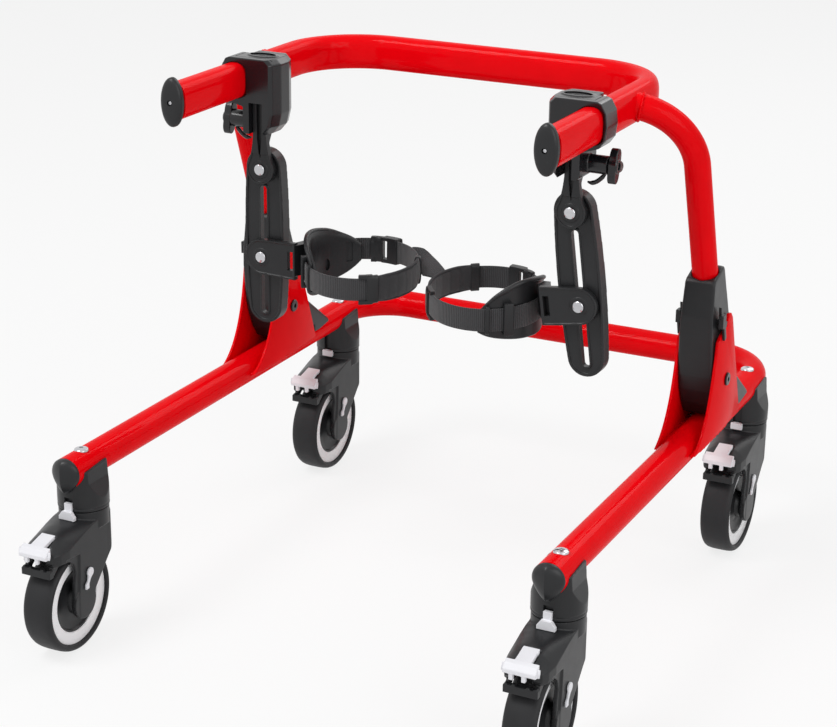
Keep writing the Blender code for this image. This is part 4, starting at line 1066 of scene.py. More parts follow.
# Casters
@dataclass
class Caster:
    """The four casters. Each is drawn about its stem, at the height of the rail's axis."""

    track: float = 0.485
    front_stem: float = 0.025
    rear_stem: float = 0.532
    socket: float = 0.0245
    socket_drop: float = 0.0395
    deck: float = -0.047
    trail: float = 0.0335
    axle_drop: float = 0.123
    wheel: float = 0.051
    rail: float = 0.015
    half: float = 0.022
    inner: float = 0.01625
    nose: float = 0.083
    hinge: tuple[float, float] = (-0.06, -0.053)
    lever_place: tuple[float, float] = (0.0223, -0.1073)

    def build(self) -> None:
        """Makes each piece once and copies it to the four corners."""
        shared = {"socket": self.caster_socket(), "bolt": self.bolt(), "fork": self.fork(),
                  "pedal": self.pedal(), "lever": self.side_lever(), "tyre": self.tyre(),
                  "ring": self.white_ring(), "hub": self.hub()}
        locks = {End.FRONT: self.swivel_lock(True), End.REAR: self.swivel_lock(False)}
        for side in Side:
            for end in End:
                self.corner(end, side, {**shared, "lock": locks[end]})
        drop(*shared.values(), *locks.values())

    def corner(self, end: End, side: Side, pieces: dict[str, Piece]) -> None:
        """Copies and dresses the pieces of one caster.

        Args:
            end: Its end of the rail.
            side: Its side.
            pieces: The pieces, by name.
        """
        word = f"{end.value}_{side.word}"
        spot = at(side.value * self.track / 2, self.front_stem if end is End.FRONT else self.rear_stem)
        socket = twin(pieces["socket"], f"socket_{word}", spot)
        if end is End.REAR:
            tube = twin(bpy.data.objects["lower_tube"], "saddle", Matrix.Identity(4))
            tube.parent = None
            cut(socket, tube, moved(self.lock_slot(-0.03, -0.0185), spot))
        dress(socket, Palette.SATIN, "base", f"caster_socket_{word}")
        table = (("bolt", "rail_bolt", Palette.STEEL, "base", "mounting_bolt"),
                 ("lock", "lock_tab", Palette.WHITE, "lock", "swivel_lock"),
                 ("fork", "caster_fork", Palette.SATIN, "swivel", "fork"),
                 ("pedal", "pedal", Palette.WHITE, "pedal", "brake_pedal"),
                 ("lever", "lever", Palette.WHITE, "lever", "side_lever"),
                 ("tyre", "wheel_tyre", Palette.TREAD, "wheel", "tyre"),
                 # The wheel ring takes the brighter copy of the white plastic, which is painted light.
                 ("ring", "wheel_ring", Palette.BAND, "wheel", "wheel_rim"),
                 ("hub", "wheel_hub", Palette.SATIN, "wheel", ""))
        for key, name, finish, body, node in table:
            rider = body if body == "base" else f"{body}_{word}"
            nodes = [f"{node}_{word}"] if node else []
            dress(twin(pieces[key], f"{name}_{word}", spot), finish, rider, *nodes)

    def lock_slot(self, low: float, high: float) -> Piece:
        """The slot for the lock in the socket's front, between two heights."""
        return block("slot", (-0.0046, -0.04, low), (0.0046, -self.socket + 0.0042, high))

    def caster_socket(self) -> Piece:
        """Turns the socket, slants its top, beds the rail in it and slots it for the lock.

        Returns:
            The socket.
        """
        low, big = -self.socket_drop, self.socket
        profile = [(0, low), (big - 0.0006, low), (big, low + 0.0006), (big, low + 0.003),
                   (big - 0.0005, low + 0.0033), (big - 0.0005, low + 0.0038), (big, low + 0.0041),
                   (big, -0.02), (big - 0.0008, 0.0), (big - 0.0016, 0.0062), (0, 0.0062)]
        item = lathe("socket", profile, Axis.Z, 72)
        slant = [(-0.05, 0.05), (-0.05, 0.0004), (-0.024, 0.0004), (0.012, 0.0036), (0.017, 0.0036),
                 (0.0204, 0.0018), (0.0226, -0.003), (0.05, -0.06), (0.05, 0.05)]
        cut(item, plate("slant", slant, Axis.X, -0.05, 0.05))
        for face in (-1, 1):
            flank = [(face * x, z) for x, z in ((0.0252, -0.029), (0.018, -0.012), (0.017, 0.0),
                                                (0.0168, 0.05), (0.05, 0.05), (0.05, -0.029))]
            cut(item, plate("flank", flank, Axis.Y, -0.05, 0.05))
        melt(item, 0.0006)
        cut(item, rod("rail", (0, -0.06, 0), (0, 0.06, 0), self.rail + 0.0002, 64))
        return cut(item, self.lock_slot(low - 0.01, low + 0.0142))

    def bolt(self) -> Piece:
        """Turns the low truss head of the rail bolt.

        Returns:
            The head, with its hexagon socket.
        """
        seat = self.rail - 0.0008
        head = 0.0068
        profile = [(0.0, seat), (head, seat), *dome(head, seat + 0.001, 0.002, 8)]
        item = lathe("bolt", profile, Axis.Z, 32)
        return cut(item, rod("drive", (0, 0, self.rail + 0.001), (0, 0, self.rail + 0.02), 0.0021, 6))

    def swivel_lock(self, footed: bool) -> Piece:
        """Makes the sliding lock tab.

        Args:
            footed: Whether it ends in a wide foot.

        Returns:
            The tab.
        """
        base, face = -self.socket_drop, -self.socket
        if not footed:
            tab = block("lock", (-0.006, face - 0.0022, base - 0.0042), (0.006, face + 0.003, base + 0.0024))
            return melt(tab, 0.0003)
        tab = block("lock", (-0.004, face - 0.0014, base + 0.0003), (0.004, face + 0.003, base + 0.009))
        shape = [(-0.0085, base - 0.0066), (0.0085, base - 0.0066), (0.0085, base - 0.0032),
                 (0.005, base + 0.0018), (-0.005, base + 0.0018), (-0.0085, base - 0.0032)]
        foot = plate("foot", shape, Axis.Y, face - 0.0046, face - 0.0004)
        return melt(merge("lock", tab, foot), 0.0003)

    def fork_points(self) -> list[Point]:
        """Side view of the fork: a low shroud over the wheel and a leg down to the axle.

        Returns:
            The outline, in the plane square to X.
        """
        rear = [(0.024, self.deck), (0.0238, -0.056), (0.0216, -0.066), (0.0172, -0.0765),
                (0.0095, -0.0875), (-0.001, -0.0985)]
        boss = arc((-self.trail, -self.axle_drop), 0.016, 20, -200, 30)
        front = [(-0.0475, -0.1), (-0.0452, -0.088), (-0.048, -0.079), (-0.0545, -0.0742),
                 (-0.064, -0.0725), (-0.0735, -0.0728), (-0.0775, -0.069), (-0.0775, -0.04),
                 (0.024, -0.04)]
        return rear + boss + front

    def fork(self) -> Piece:
        """Shapes the fork out of its side view, its plan and its round brow, with the brake shoe.

        Returns:
            The fork.
        """
        half, inner, nose = self.half, self.inner, self.nose
        item = plate("fork", self.fork_points(), Axis.X, -half - 0.003, half + 0.003)
        flank = [(half, 0.004), (half, -nose + 0.027), (half - 0.0018, -nose + 0.016),
                 (half - 0.006, -nose + 0.007), (half - 0.012, -nose + 0.002)]
        plan = arc((0, 0), self.socket, 25, 155, 24) + [(-x, y) for x, y in flank] + flank[::-1]
        cut(item, plate("plan", plan, Axis.Z, -0.16, 0.0), operation="INTERSECT")
        cut(item, self.brow(half + 0.001), operation="INTERSECT")
        axle = (-self.trail, -self.axle_drop)
        well = [(y + axle[0], z + axle[1]) for y, z in ring(0.055, 96)]
        cut(item, plate("well", well, Axis.X, -inner, inner))
        cut(item, block("seat", (-0.0082, -0.095, -0.09), (0.0082, -0.056, -0.04)))
        cut(item, block("swing", (-0.018, -0.095, -0.0705), (0.018, -0.074, -0.04)))
        hollow = [(-0.0405, -0.0715), (-0.06, -0.07), (-0.062, -0.15), (-0.044, -0.15),
                  (-0.043, -0.11), (-0.0412, -0.09)]
        for face in (-1, 1):
            cut(item, plate("hollow", hollow, Axis.X, face * (half - 0.0017), face * (half + 0.01)))
        top, low = -self.socket_drop - 0.0006, self.deck - 0.01
        collar = rod("collar", (0, 0, low), (0, 0, top), self.socket - 0.0006, 72)
        pads = [rod("pad", (face * inner, *axle), (face * (half - 0.0004), *axle), 0.0165, 48)
                for face in (-1, 1)]
        pin = rod("pin", (-half + 0.001, *axle), (half - 0.001, *axle), 0.004, 24)
        return melt(merge("fork", item, collar, *pads, pin, *self.brake_shoe()), 0.0006, 5)

    def brow(self, half: float) -> Piece:
        """Makes the space under the fork's domed top, which falls towards the nose.

        Args:
            half: Half its width.

        Returns:
            The closed body to intersect the fork with.
        """
        shares = [1 - i / 16 for i in range(33)]
        rings = []
        for y, edge, crown in ((0.05, 0.0, 0.0), (0.01, 0.0, 0.0006), (-0.005, 0.0008, 0.0012),
                               (-0.02, 0.0032, 0.0012), (-0.032, 0.0068, 0.0004), (-0.042, 0.0105, -0.0004),
                               (-0.052, 0.014, -0.0016), (-0.06, 0.0168, -0.0034), (-0.068, 0.0195, -0.007),
                               (-0.074, 0.0215, -0.0118), (-0.09, 0.026, -0.026)):
            low, high = self.deck - edge, self.deck + crown
            roof = [(half * u, low + (high - low) * (1 - abs(u) ** 2.7)) for u in shares]
            rings.append([(x, y, z) for x, z in [(-half, -0.15), (half, -0.15), *roof]])
        return loft("brow", rings)

    def brake_shoe(self) -> list[Piece]:
        """Makes the toothed bar under the pedal, on two arms.

        Returns:
            Its pieces.
        """
        shoe = block("shoe", (-0.0158, -0.08, -0.0832), (0.0158, -0.0738, -0.0758))
        teeth = [block("tooth", (x - 0.0012, -0.0796, -0.077), (x + 0.0012, -0.076, -0.0742))
                 for x in (-0.0135, -0.0065, 0.0065, 0.0135)]
        side_view = [(-0.0795, -0.0832), (-0.0738, -0.0832), (-0.06, -0.072), (-0.06, -0.066),
                     (-0.068, -0.068), (-0.0745, -0.074)]
        arms = [plate("arm", side_view, Axis.X, x - 0.0018, x + 0.0018) for x in (-0.0135, 0.0135)]
        return [shoe, *teeth, *arms]

    def pedal(self) -> Piece:
        """Shapes the brake pedal: a broad shank with a wide bar across its end, and two feet.

        Returns:
            The pedal.
        """
        shank = [(0.003, 0.0044), (-0.017, -0.0004), (-0.02, -0.003), (-0.017, -0.0044), (0.003, 0.0012)]
        bar = [(-0.0156, 0.0002), (-0.0196, -0.0016), (-0.0238, -0.0062), (-0.024, -0.0098),
               (-0.0212, -0.0102), (-0.0168, -0.0062), (-0.0156, -0.004)]
        tip = [(y * 0.3 - 0.0138, z * 0.75 - 0.0022) for y, z in bar]
        pieces = [plate("shank", shank, Axis.X, -0.0074, 0.0074), plate("bar", bar, Axis.X, -0.015, 0.015),
                  plate("end", tip, Axis.X, -0.0172, -0.0145), plate("end", tip, Axis.X, 0.0145, 0.0172)]
        pieces += [block("foot", (x - 0.0019, -0.0236, -0.0152), (x + 0.0019, -0.02, -0.008))
                   for x in (-0.0075, 0.004)]
        pieces.append(rod("pin", (-0.0078, 0, 0.001), (0.0078, 0, 0.001), 0.0018, 24))
        item = melt(merge("pedal", *pieces), 0.0004)
        return moved(item, Matrix.Translation((0, *self.hinge)))

    def side_lever(self) -> Piece:
        """Shapes the small lever on the fork's right leg.

        Returns:
            The lever.
        """
        face, height = self.lever_place
        points = arc((0.0062, 0.0128), 0.0046, -60, 215, 24)
        points += [(0.001, 0.0048), (-0.0022, 0.0024), (-0.0022, -0.0026), (0.0028, -0.0026),
                   (0.003, 0.0022), (0.0056, 0.0066)]
        item = round_off(plate("lever", points, Axis.X, face, face + 0.0021), 0.0006)
        return moved(item, Matrix.Translation((0, -self.trail, height)))

    def turned(self, name: str, profile: Sequence[Point]) -> Piece:
        """Turns a wheel piece about the axle out of the right half of its profile."""
        item = lathe(name, both_ways(profile), Axis.X, 96)
        return moved(item, Matrix.Translation((0, -self.trail, -self.axle_drop)))

    def tyre(self) -> Piece:
        """Turns the tyre: a flat tread with round shoulders."""
        inner = 0.0438
        return self.turned("tyre", [(inner, 0.0128), (inner + 0.0006, 0.0146), (inner + 0.0026, 0.0155),
                                    (inner + 0.004, 0.0151), (inner + 0.0054, 0.0139),
                                    (inner + 0.0064, 0.012), (self.wheel - 0.0004, 0.01),
                                    (self.wheel - 0.0001, 0.0075), (self.wheel, 0.004)])

    def white_ring(self) -> Piece:
        """Turns the broad white ring of the wheel."""
        return self.turned("ring", [(0.0318, 0.004), (0.0318, 0.0108), (0.0324, 0.0116), (0.043, 0.0124),
                                    (0.0436, 0.0121), (0.0437, 0.011)])

    def hub(self) -> Piece:
        """Turns the dished black hub."""
        return self.turned("hub", [(0.0043, 0.0154), (0.0075, 0.0154), (0.008, 0.015), (0.012, 0.0148),
                                   (0.0126, 0.0142), (0.014, 0.01), (0.018, 0.0074), (0.025, 0.0074),
                                   (0.029, 0.0086), (0.0302, 0.0106), (0.0317, 0.0106)])


# Fold joint
@dataclass
class FoldJoint:
    """The two housings with their latches and pivot bolts, drawn about the fold axis."""

    track: float = 0.485
    pivot: tuple[float, float] = (0.391787, 0.0535)
    half: float = 0.0175
    rail: float = 0.015
    upright: float = 0.0125
    top: float = 0.177
    rear: float = 0.0165
    latch_along: float = 0.132
    latch_across: float = -0.017

    def build(self) -> None:
        """Makes each piece once and copies it to both sides."""
        pieces = {"housing": self.housing(), "latch": self.latch(), "bolt": self.bolt()}
        for side in Side:
            spot = at(side.value * self.track / 2, *self.pivot)
            word = side.word
            dress(twin(pieces["housing"], f"upright_housing_{word}", spot), Palette.SATIN, "housings",
                  f"fold_housing_{word}")
            dress(twin(pieces["latch"], f"latch_bar_{word}", spot), Palette.SATIN, f"latch_{word}",
                  f"fold_latch_{word}")
            dress(twin(pieces["bolt"], f"fold_bolt_{word}", spot), Palette.GLOSS, "base",
                  f"pivot_bolt_{word}")
        drop(*pieces.values())

    def about_pivot(self, point: Point) -> Point:
        """A (y, z) point of the rail frame, seen from the fold axis."""
        return (point[0] - self.pivot[0], point[1] - self.pivot[1])

    def leant(self, along: float, across: float) -> Point:
        """A point given along the upright's axis and square to it, seen from the fold axis."""
        return self.about_pivot(lean(along, across))

    def side_view(self) -> list[Point]:
        """Side view of a housing: mouth, straight back, heel on the rail and curved front.

        Returns:
            The outline, in the plane square to X.
        """
        seat = self.rail + 0.0005
        y, z = self.pivot
        wedge = [(y + 0.086, 0.0135), (y + 0.087, 0.0095), (y + 0.064, 0.006), (y + 0.053, 0.006),
                 (y + 0.053, seat)]
        heel = arc((y, z), z - seat, 270, 250, 4)
        nose = [(0.05, -0.0465), (0.068, -0.048), (0.085, -0.0465), (0.105, -0.0425), (0.125, -0.0385),
                (0.145, -0.0315), (0.158, -0.0245), (0.17, -0.0185), (self.top - 0.0022, -0.0165)]
        crown = [(self.top, -0.0125), (self.top, 0.012), (self.top - 0.0014, 0.0152),
                 (self.top - 0.0048, self.rear), (0.046, self.rear)]
        points = [lean(a, b) for a, b in crown] + wedge + heel + [lean(a, b) for a, b in nose]
        return [self.about_pivot(point) for point in points]

    def soften(self, item: Piece) -> None:
        """Rounds the edges round both faces, above the heel, and tapers the top.

        Args:
            item: The plain housing.
        """
        with editing(item):
            mesh = bmesh.from_edit_mesh(item.data)
            for edge in mesh.edges:
                one, other = (corner.co for corner in edge.verts)
                flat = abs(one.x - other.x) < 1e-6
                edge.select_set(flat and max(one.z, other.z) > -0.03)
            bmesh.update_edit_mesh(item.data)
            bpy.ops.mesh.select_mode(type="EDGE")
            bpy.ops.mesh.bevel(offset=0.009, segments=7, affect="EDGES", clamp_overlap=True)
        for corner in item.data.vertices:
            corner.co.x *= 1 - 0.16 * max(0.0, (corner.co.z - 0.02) / 0.095) ** 1.3

    def housing(self) -> Piece:
        """Shapes the moulded housing out of its side view, then bores it.

        Returns:
            The housing.
        """
        z = self.pivot[1]
        item = plate("housing", self.side_view(), Axis.X, -self.half, self.half)
        self.soften(item)
        foot, mouth = self.leant(0.02, 0), self.leant(self.top + 0.01, 0)
        cut(item, rod("bore", (0, *foot), (0, *mouth), self.upright + 0.0003, 48),
            rod("saddle", (0, -0.05, -z), (0, 0.12, -z), self.rail + 0.0005, 48))
        low, high = self.leant(self.top - 0.012, 0), self.leant(self.top - 0.0004, 0)
        collar = rod("collar", (0, *low), (0, *high), self.upright + 0.0019, 48)
        cut(collar, rod("bore", (0, *foot), (0, *mouth), self.upright + 0.0003, 48))
        corners = ((0.06, -0.034), (0.104, -0.029), (0.104, 0.006), (0.06, 0.006))
        panel = [self.leant(*corner) for corner in corners]
        for face in (-1, 1):
            cut(item, plate("panel", panel, Axis.X, face * (self.half - 0.0008), face * (self.half + 0.01)))
        return melt(merge("housing", item, collar), 0.0009, 12)

    def latch(self) -> Piece:
        """Shapes the latch: a cross bar with a cheek, a web and a finger tab on each side.

        Returns:
            The latch.
        """
        spot = self.leant(self.latch_along, self.latch_across)
        sole = arc((-spot[0], -spot[1]), 0.0575, 109, 99, 4)
        cheek = [(0.003, 0.004), (-0.001, 0.015), (-0.0065, 0.017), (-0.0045, 0.006), (-0.0035, -0.004),
                 *sole, (sole[-1][0] + 0.0008, sole[-1][1] + 0.005), (0.0065, -0.001)]
        wing = [(-0.0085, 0.006), (-0.0015, 0.006), (0.002, -0.006), (0.0052, -0.0165), (0.0005, -0.0185),
                (-0.0032, -0.006)]
        near, far, clear, edge = 0.0181, 0.0209, 0.0216, 0.024
        pieces = [rod("bar", (-far, 0, 0), (far, 0, 0), 0.003, 24)]
        for face in (-1, 1):
            low, high = sorted((face * (near + 0.001), face * edge))
            pieces += [plate("cheek", cheek, Axis.X, face * near, face * far),
                       block("web", (low, -0.008, -0.004), (high, 0.001, 0.0085)),
                       plate("wing", wing, Axis.X, face * clear, face * edge)]
        return moved(melt(merge("latch", *pieces), 0.0004, 3, 0.3), Matrix.Translation((0, *spot)))

    def bolt(self) -> Piece:
        """Turns the pivot bolt, with a hexagon socket in each head.

        Returns:
            The bolt.
        """
        seat = 0.0213
        left = [(0.0, -seat - 0.002), (0.0058, -seat - 0.002), (0.0065, -seat - 0.0013), (0.0065, -seat),
                (0.004, -seat)]
        item = lathe("bolt", both_ways(left), Axis.X, 40)
        near, far = seat + 0.0009, seat + 0.01
        return cut(item, *[rod("drive", (face * near, 0, 0), (face * far, 0, 0), 0.0026, 6)
                           for face in (-1, 1)])


# Ankle guides
@dataclass
class Guide:
    """One ankle guide, from its clamp on the handle to its cuff.

    Rigid pieces are drawn as right-hand pieces, whose inward side is -X.
    """

    side: Side
    bar_tilt: float
    bracket_tilt: float
    reach: float
    setback: float
    rise: float
    cup_turn: float
    sleeve_start: float
    spacing: float = 0.367
    clamp_place: float = 0.23
    handle_rise: float = 0.3355
    arm_offset: float = 0.0228
    eye_drop: float = 0.086
    rivet_place: float = 0.0875
    clamp_shift: float = 0.006
    clamp_half: float = 0.021
    clamp_top: float = 0.022
    knob_drop: float = 0.04
    front: float = -0.0085
    bar_length: float = 0.1385
    bar_widths: tuple[float, float, float] = (0.01875, 0.0211, 0.018)

    def __post_init__(self) -> None:
        """Works out the frames of the guide's moving pieces."""
        hand = self.side.value
        shift = Matrix.Translation
        self.clamp_frame = at(hand * self.spacing / 2, self.clamp_place, self.handle_rise)
        self.eye_frame = self.clamp_frame @ shift((-hand * self.arm_offset, 0, -self.eye_drop))
        self.bar_frame = self.eye_frame @ Matrix.Rotation(-self.bar_tilt, 4, "Y")
        self.rivet_frame = self.bar_frame @ shift((0, 0, -self.rivet_place))
        drop = Vector((math.sin(self.bar_tilt), 0, -math.cos(self.bar_tilt))) * self.rivet_place
        self.bracket_frame = self.eye_frame @ shift(drop) @ Matrix.Rotation(-self.bracket_tilt, 4, "Y")
        middle = Vector((-self.reach, self.setback, self.rise))
        self.centre = Matrix.Rotation(self.bracket_tilt, 3, "Y") @ middle
        place = Vector((hand * self.centre.x, self.centre.y, self.centre.z))
        self.cuff_frame = self.bracket_frame @ shift(place) @ Matrix.Rotation(self.bracket_tilt, 4, "Y")

    @property
    def word(self) -> str:
        """The side's name."""
        return self.side.word

    @property
    def middle(self) -> float:
        """Where the clamp's middle lies along the handle, from its knob."""
        return -self.side.value * self.clamp_shift

    def put(self, item: Piece, name: str, place: Matrix, finish: Finish, body: str,
            *nodes: str) -> Piece:
        """Moves a right-hand piece to this guide and dresses it.

        Args:
            item: The piece, about the origin of its frame.
            name: Its name without the side.
            place: Its frame.
            finish: Its finish.
            body: Its body without the side.
            *nodes: The nodes that it replaces, without the side.

        Returns:
            The piece.
        """
        item.name = f"{name}_{self.word}"
        moved(item, place @ self.side.mirror)
        return dress(item, finish, f"{body}_{self.word}", *[f"{node}_{self.word}" for node in nodes])

    def build(self) -> None:
        """Builds and dresses every piece of the guide."""
        self.clamp()
        self.knob()
        self.arm()
        self.bar()
        self.bracket()
        Cuff(self).build()

    def ring_points(self, share: float) -> list[Point]:
        """Front view of the clamp about the handle's axis.

        Args:
            share: How far its inner side reaches, from 0 to 1.

        Returns:
            The outline, in the plane square to Y.
        """
        top, low, outer = self.clamp_top, -0.0505, 0.016
        reach = 0.03 + 0.014 * share
        return [(-reach + 0.005, top), (-reach, top - 0.005), (-reach, -0.03), (-reach + 0.003, low + 0.008),
                (-reach + 0.01, low), (-0.0105, low), (-0.0085, low + 0.002), (-0.0085, -0.0245),
                (0.0, -0.0225), (0.009, -0.0195), (outer - 0.0015, -0.012), (outer, 0.0),
                (outer - 0.0015, 0.012), (0.0095, top - 0.0015), (0.006, top)]

    def oval(self, width: float, depth: float, count: int) -> list[Point]:
        """Plan of an oval on the clamp's top, from its half width and half depth."""
        return [(-0.02 + width * x, self.middle + depth * y) for x, y in ring(1.0, count)]

    def clamp(self) -> None:
        """Shapes the clamp: band, block, knob boss and top plate with its seam and dish."""
        middle, top, half = self.middle, self.clamp_top, self.clamp_half
        stations = [(-half, 0.55), (-half + 0.003, 0.72), (-half * 0.35, 0.98), (half * 0.35, 1.0),
                    (half - 0.003, 0.72), (half, 0.55)]
        rings = [[(x, y + middle, z) for x, z in self.ring_points(share)] for y, share in stations]
        item = loft("clamp", rings)
        tube = [(max(-0.0123, min(0.0123, x)), z) for x, z in ring(0.0173, 64)]
        cut(item, plate("handle", tube, Axis.Y, -0.04, 0.04))
        cut(item, block("trim", (-0.004, middle + 0.0065, -0.0235), (0.03, middle + 0.04, 0.04)))
        boss = rod("boss", (-0.009, 0, -self.knob_drop), (0.0098, 0, -self.knob_drop), 0.0085, 40)
        brim = plate("brim", self.oval(0.0158, 0.01, 48), Axis.Z, 0.018, 0.023)
        item = melt(merge("clamp", item, boss, brim), 0.0006, 6, 1.0)
        for strip in seam_strips((-0.0395, middle - 0.015), (0.002, middle + 0.015), 0.0008):
            cut(item, plate("seam", strip, Axis.Z, top - 0.0016, top + 0.01))
        cut(item, plate("dish", self.oval(0.0134, 0.0078, 40), Axis.Z, top - 0.003, top + 0.01))
        channel = block("channel", (-0.0301, middle - half - 0.01, -0.071), (-0.0155, 0.006, -0.0202))
        screw = rod("screw", (-0.0228, 0, -self.knob_drop), (0.03, 0, -self.knob_drop), 0.0033, 24)
        cut(item, channel, screw)
        self.put(item, "guide_clamp", self.clamp_frame, Palette.GLOSS, "clamp", "clamp_body")
        self.clamp_lid()
        self.clamp_tail()

    def clamp_lid(self) -> None:
        """Shapes the slotted lid that lies in the clamp's dish."""
        middle, top = self.middle, self.clamp_top
        cover = plate("lid", self.oval(0.012, 0.0064, 40), Axis.Z, top - 0.0032, top - 0.0002)
        cut(cover, block("slot", (-0.0245, middle - 0.0006, top - 0.0012),
                         (-0.0155, middle + 0.0006, top + 0.001)))
        self.put(round_off(cover, 0.0003, 2), "clamp_lid", self.clamp_frame, Palette.SATIN, "clamp")

    def clamp_tail(self) -> None:
        """Shapes the small curved tail below the clamp."""
        tail = [Vector((0.0075 - 0.0175 * t, -0.001, -0.047 - 0.0105 * math.sin(math.pi * 0.62 * t)))
                for t in [i / 16 for i in range(17)]]
        self.put(bead("tail", tail, 0.0021, 32, 0.0), "clamp_tail", self.clamp_frame, Palette.GLOSS, "clamp")

    def knob(self) -> None:
        """Shapes the knob: two wings, a small third lobe and a screw."""
        core, wing, lobe, turn = 0.0068, 0.0092, 0.0078, 0.2443
        points = []
        for i in range(96):
            angle = 2 * math.pi * i / 96
            reach = core + max(wing * abs(math.sin(angle)) ** 5, lobe * max(0.0, math.cos(angle)) ** 6)
            points.append((reach * math.cos(angle - turn), reach * math.sin(angle - turn)))
        body = round_off(plate("knob", points, Axis.X, 0.0106, 0.018), 0.0028, 5, 60.0)
        cut(body, rod("well", (0.016, 0, 0), (0.03, 0, 0), 0.0036, 24))
        hub = rod("hub", (0.01, 0, 0), (0.019, 0, 0), 0.0062, 32)
        cut(hub, rod("well", (0.0165, 0, 0), (0.03, 0, 0), 0.0036, 24))
        screw = rod("screw", (-0.0155, 0, 0), (0.013, 0, 0), 0.0029, 20)
        whole = melt(merge("knob", body, hub, screw), 0.0004, 4, 0.3)
        place = self.clamp_frame @ Matrix.Translation((0, 0, -self.knob_drop))
        self.put(whole, "guide_knob", place, Palette.GLOSS, "knob", "clamp_knob")

    def eye_outline(self, inset: float) -> list[Point]:
        """Front view of the arm's flared eye.

        Args:
            inset: How far the outline is drawn in.

        Returns:
            The outline in the plane square to Y.
        """
        radius, half = 0.0145 - inset, 0.007 - inset
        eye = arc((0, 0), radius, 150, 390, 40)
        right = curve(eye[-1], (half + 0.0015, 0.0155), (half, 0.033), 10)[1:]
        return eye + right + [(-x, z) for x, z in reversed(right)]

    def arm(self) -> None:
        """Shapes the fluted arm, with a raised rim round its eye, and its upper rivet."""
        front = self.front
        side_view = [(front, 0.0655), (front, 0.015), (front + 0.006, 0.015), (front + 0.0066, 0.024),
                     (0.0057, 0.037), (0.0057, 0.0655)]
        stem = plate("stem", side_view, Axis.X, -0.007, 0.007)
        for x in (-0.0034, 0.0034):
            cut(stem, block("flute", (x - 0.0022, 0.003, 0.04), (x + 0.0022, 0.0157, 0.0755)))
        eye = plate("eye", self.eye_outline(0.0), Axis.Y, front, front + 0.0065)
        cut(eye, plate("field", self.eye_outline(0.0018), Axis.Y, front - 0.01, front + 0.0012))
        boss = rod("boss", (0, front + 0.0002, 0), (0, front + 0.005, 0), 0.0086, 40)
        whole = melt(merge("arm", stem, eye, boss), 0.0004, 3, 1.0)
        groove = [(-0.0026, 0.08), (0.0026, 0.08), (0.0025, 0.03), (0.0003, 0.0115), (-0.0003, 0.0115),
                  (-0.0025, 0.03)]
        cut(whole, plate("groove", groove, Axis.Y, front - 0.01, front + 0.0034))
        self.put(thinned(whole, 0.3), "guide_stem", self.eye_frame, Palette.SATIN, "arm", "guide_arm")
        self.put(self.rivet(front - 0.0002), "upper_rivet", self.eye_frame, Palette.STEEL, "arm")
        self.put(self.washer(0.0123), "upper_washer", self.eye_frame, Palette.STEEL, "arm")

    def rivet(self, face: float) -> Piece:
        """Turns a domed rivet head that looks to the front.

        Args:
            face: Where its head sits, along Y.

        Returns:
            The head with a short shank.
        """
        head, shank = 0.0056, 0.0032
        profile = [(0.0, face + 0.003), (shank, face + 0.003), (shank, face), (head - 0.0003, face),
                   *dome(head, face - 0.0006, -0.0019, 10)]
        return lathe("rivet", profile, Axis.Y, 40)

    def washer(self, back: float) -> Piece:
        """Turns the washer and the peened end that lie against a face at the back."""
        points = [(0.0, back), (0.0072, back), (0.0075, back + 0.0004), (0.0072, back + 0.0012),
                  (0.0042, back + 0.0013), (0.003, back + 0.0018), (0.0, back + 0.0018)]
        return lathe("washer", points, Axis.Y, 32)

    def half_width(self, z: float) -> float:
        """Half width of the slotted bar, which swells towards its middle.

        Args:
            z: Height from its upper rivet, below zero.

        Returns:
            The half width.
        """
        low, middle = -self.bar_length, -0.07
        widths = self.bar_widths
        return (widths[0] * (z - middle) * (z - low) / (middle * low)
                + widths[1] * z * (z - low) / (middle * (middle - low))
                + widths[2] * z * (z - middle) / (low * (low - middle)))

    def bar_points(self, inset: float) -> list[Point]:
        """Front view of the slotted bar.

        Args:
            inset: How far the outline is drawn in.

        Returns:
            The outline, in the plane square to Y.
        """
        low = -self.bar_length
        top, _, foot = self.bar_widths
        left = [(-(self.half_width(z) - inset), z) for z in [low * i / 16 for i in range(1, 16)]]
        right = [(-x, z) for x, z in reversed(left)]
        return [*arc((0, 0), top - inset, 0, 180, 24), *left,
                *arc((0, low), foot - inset, 180, 360, 24), *right]

    def slot_points(self, half: float) -> list[Point]:
        """Front view of the slot with a given half width."""
        return arc((0, -0.021), half, 0, 180, 14) + arc((0, -0.1435), half, 180, 360, 14)

    def bar(self) -> None:
        """Shapes the slotted bar, with raised rims and fields, and the rivet in its slot."""
        face = self.front + 0.0068
        back = face + 0.0137
        item = plate("bar", self.bar_points(0.0), Axis.Y, face, back)
        field = plate("field", self.bar_points(0.0026), Axis.Y, face - 0.01, face + 0.0016)
        cut(field, plate("land", self.slot_points(0.0054), Axis.Y, face - 0.02, face + 0.02))
        cut(item, field, plate("hollow", self.bar_points(0.003), Axis.Y, back - 0.0072, back + 0.01))
        hub = rod("hub", (0, face, 0), (0, back, 0), 0.0125, 40)
        item = melt(merge("bar", item, hub), 0.0005, 5, 1.0)
        cut(item, plate("slot", self.slot_points(0.0035), Axis.Y, face - 0.02, back + 0.02))
        self.put(thinned(item, 0.25), "guide_bar", self.bar_frame, Palette.SATIN, "bar", "slotted_bar")
        self.put(self.rivet(self.front - 0.0003), "slot_rivet_head", self.rivet_frame, Palette.STEEL,
                 "rivet", "slot_rivet")
        self.put(self.washer(0.005), "slot_washer", self.rivet_frame, Palette.STEEL, "rivet")

    def bracket_points(self, inset: float) -> list[Point]:
        """Front view of the bracket's plate, drawn in by an inset."""
        end = arc((0, 0), 0.0175 - inset, -90, 90, 28)
        return end + [(-0.0375 + inset, 0.0185 - inset), (-0.0375 + inset, -0.0185 + inset)]

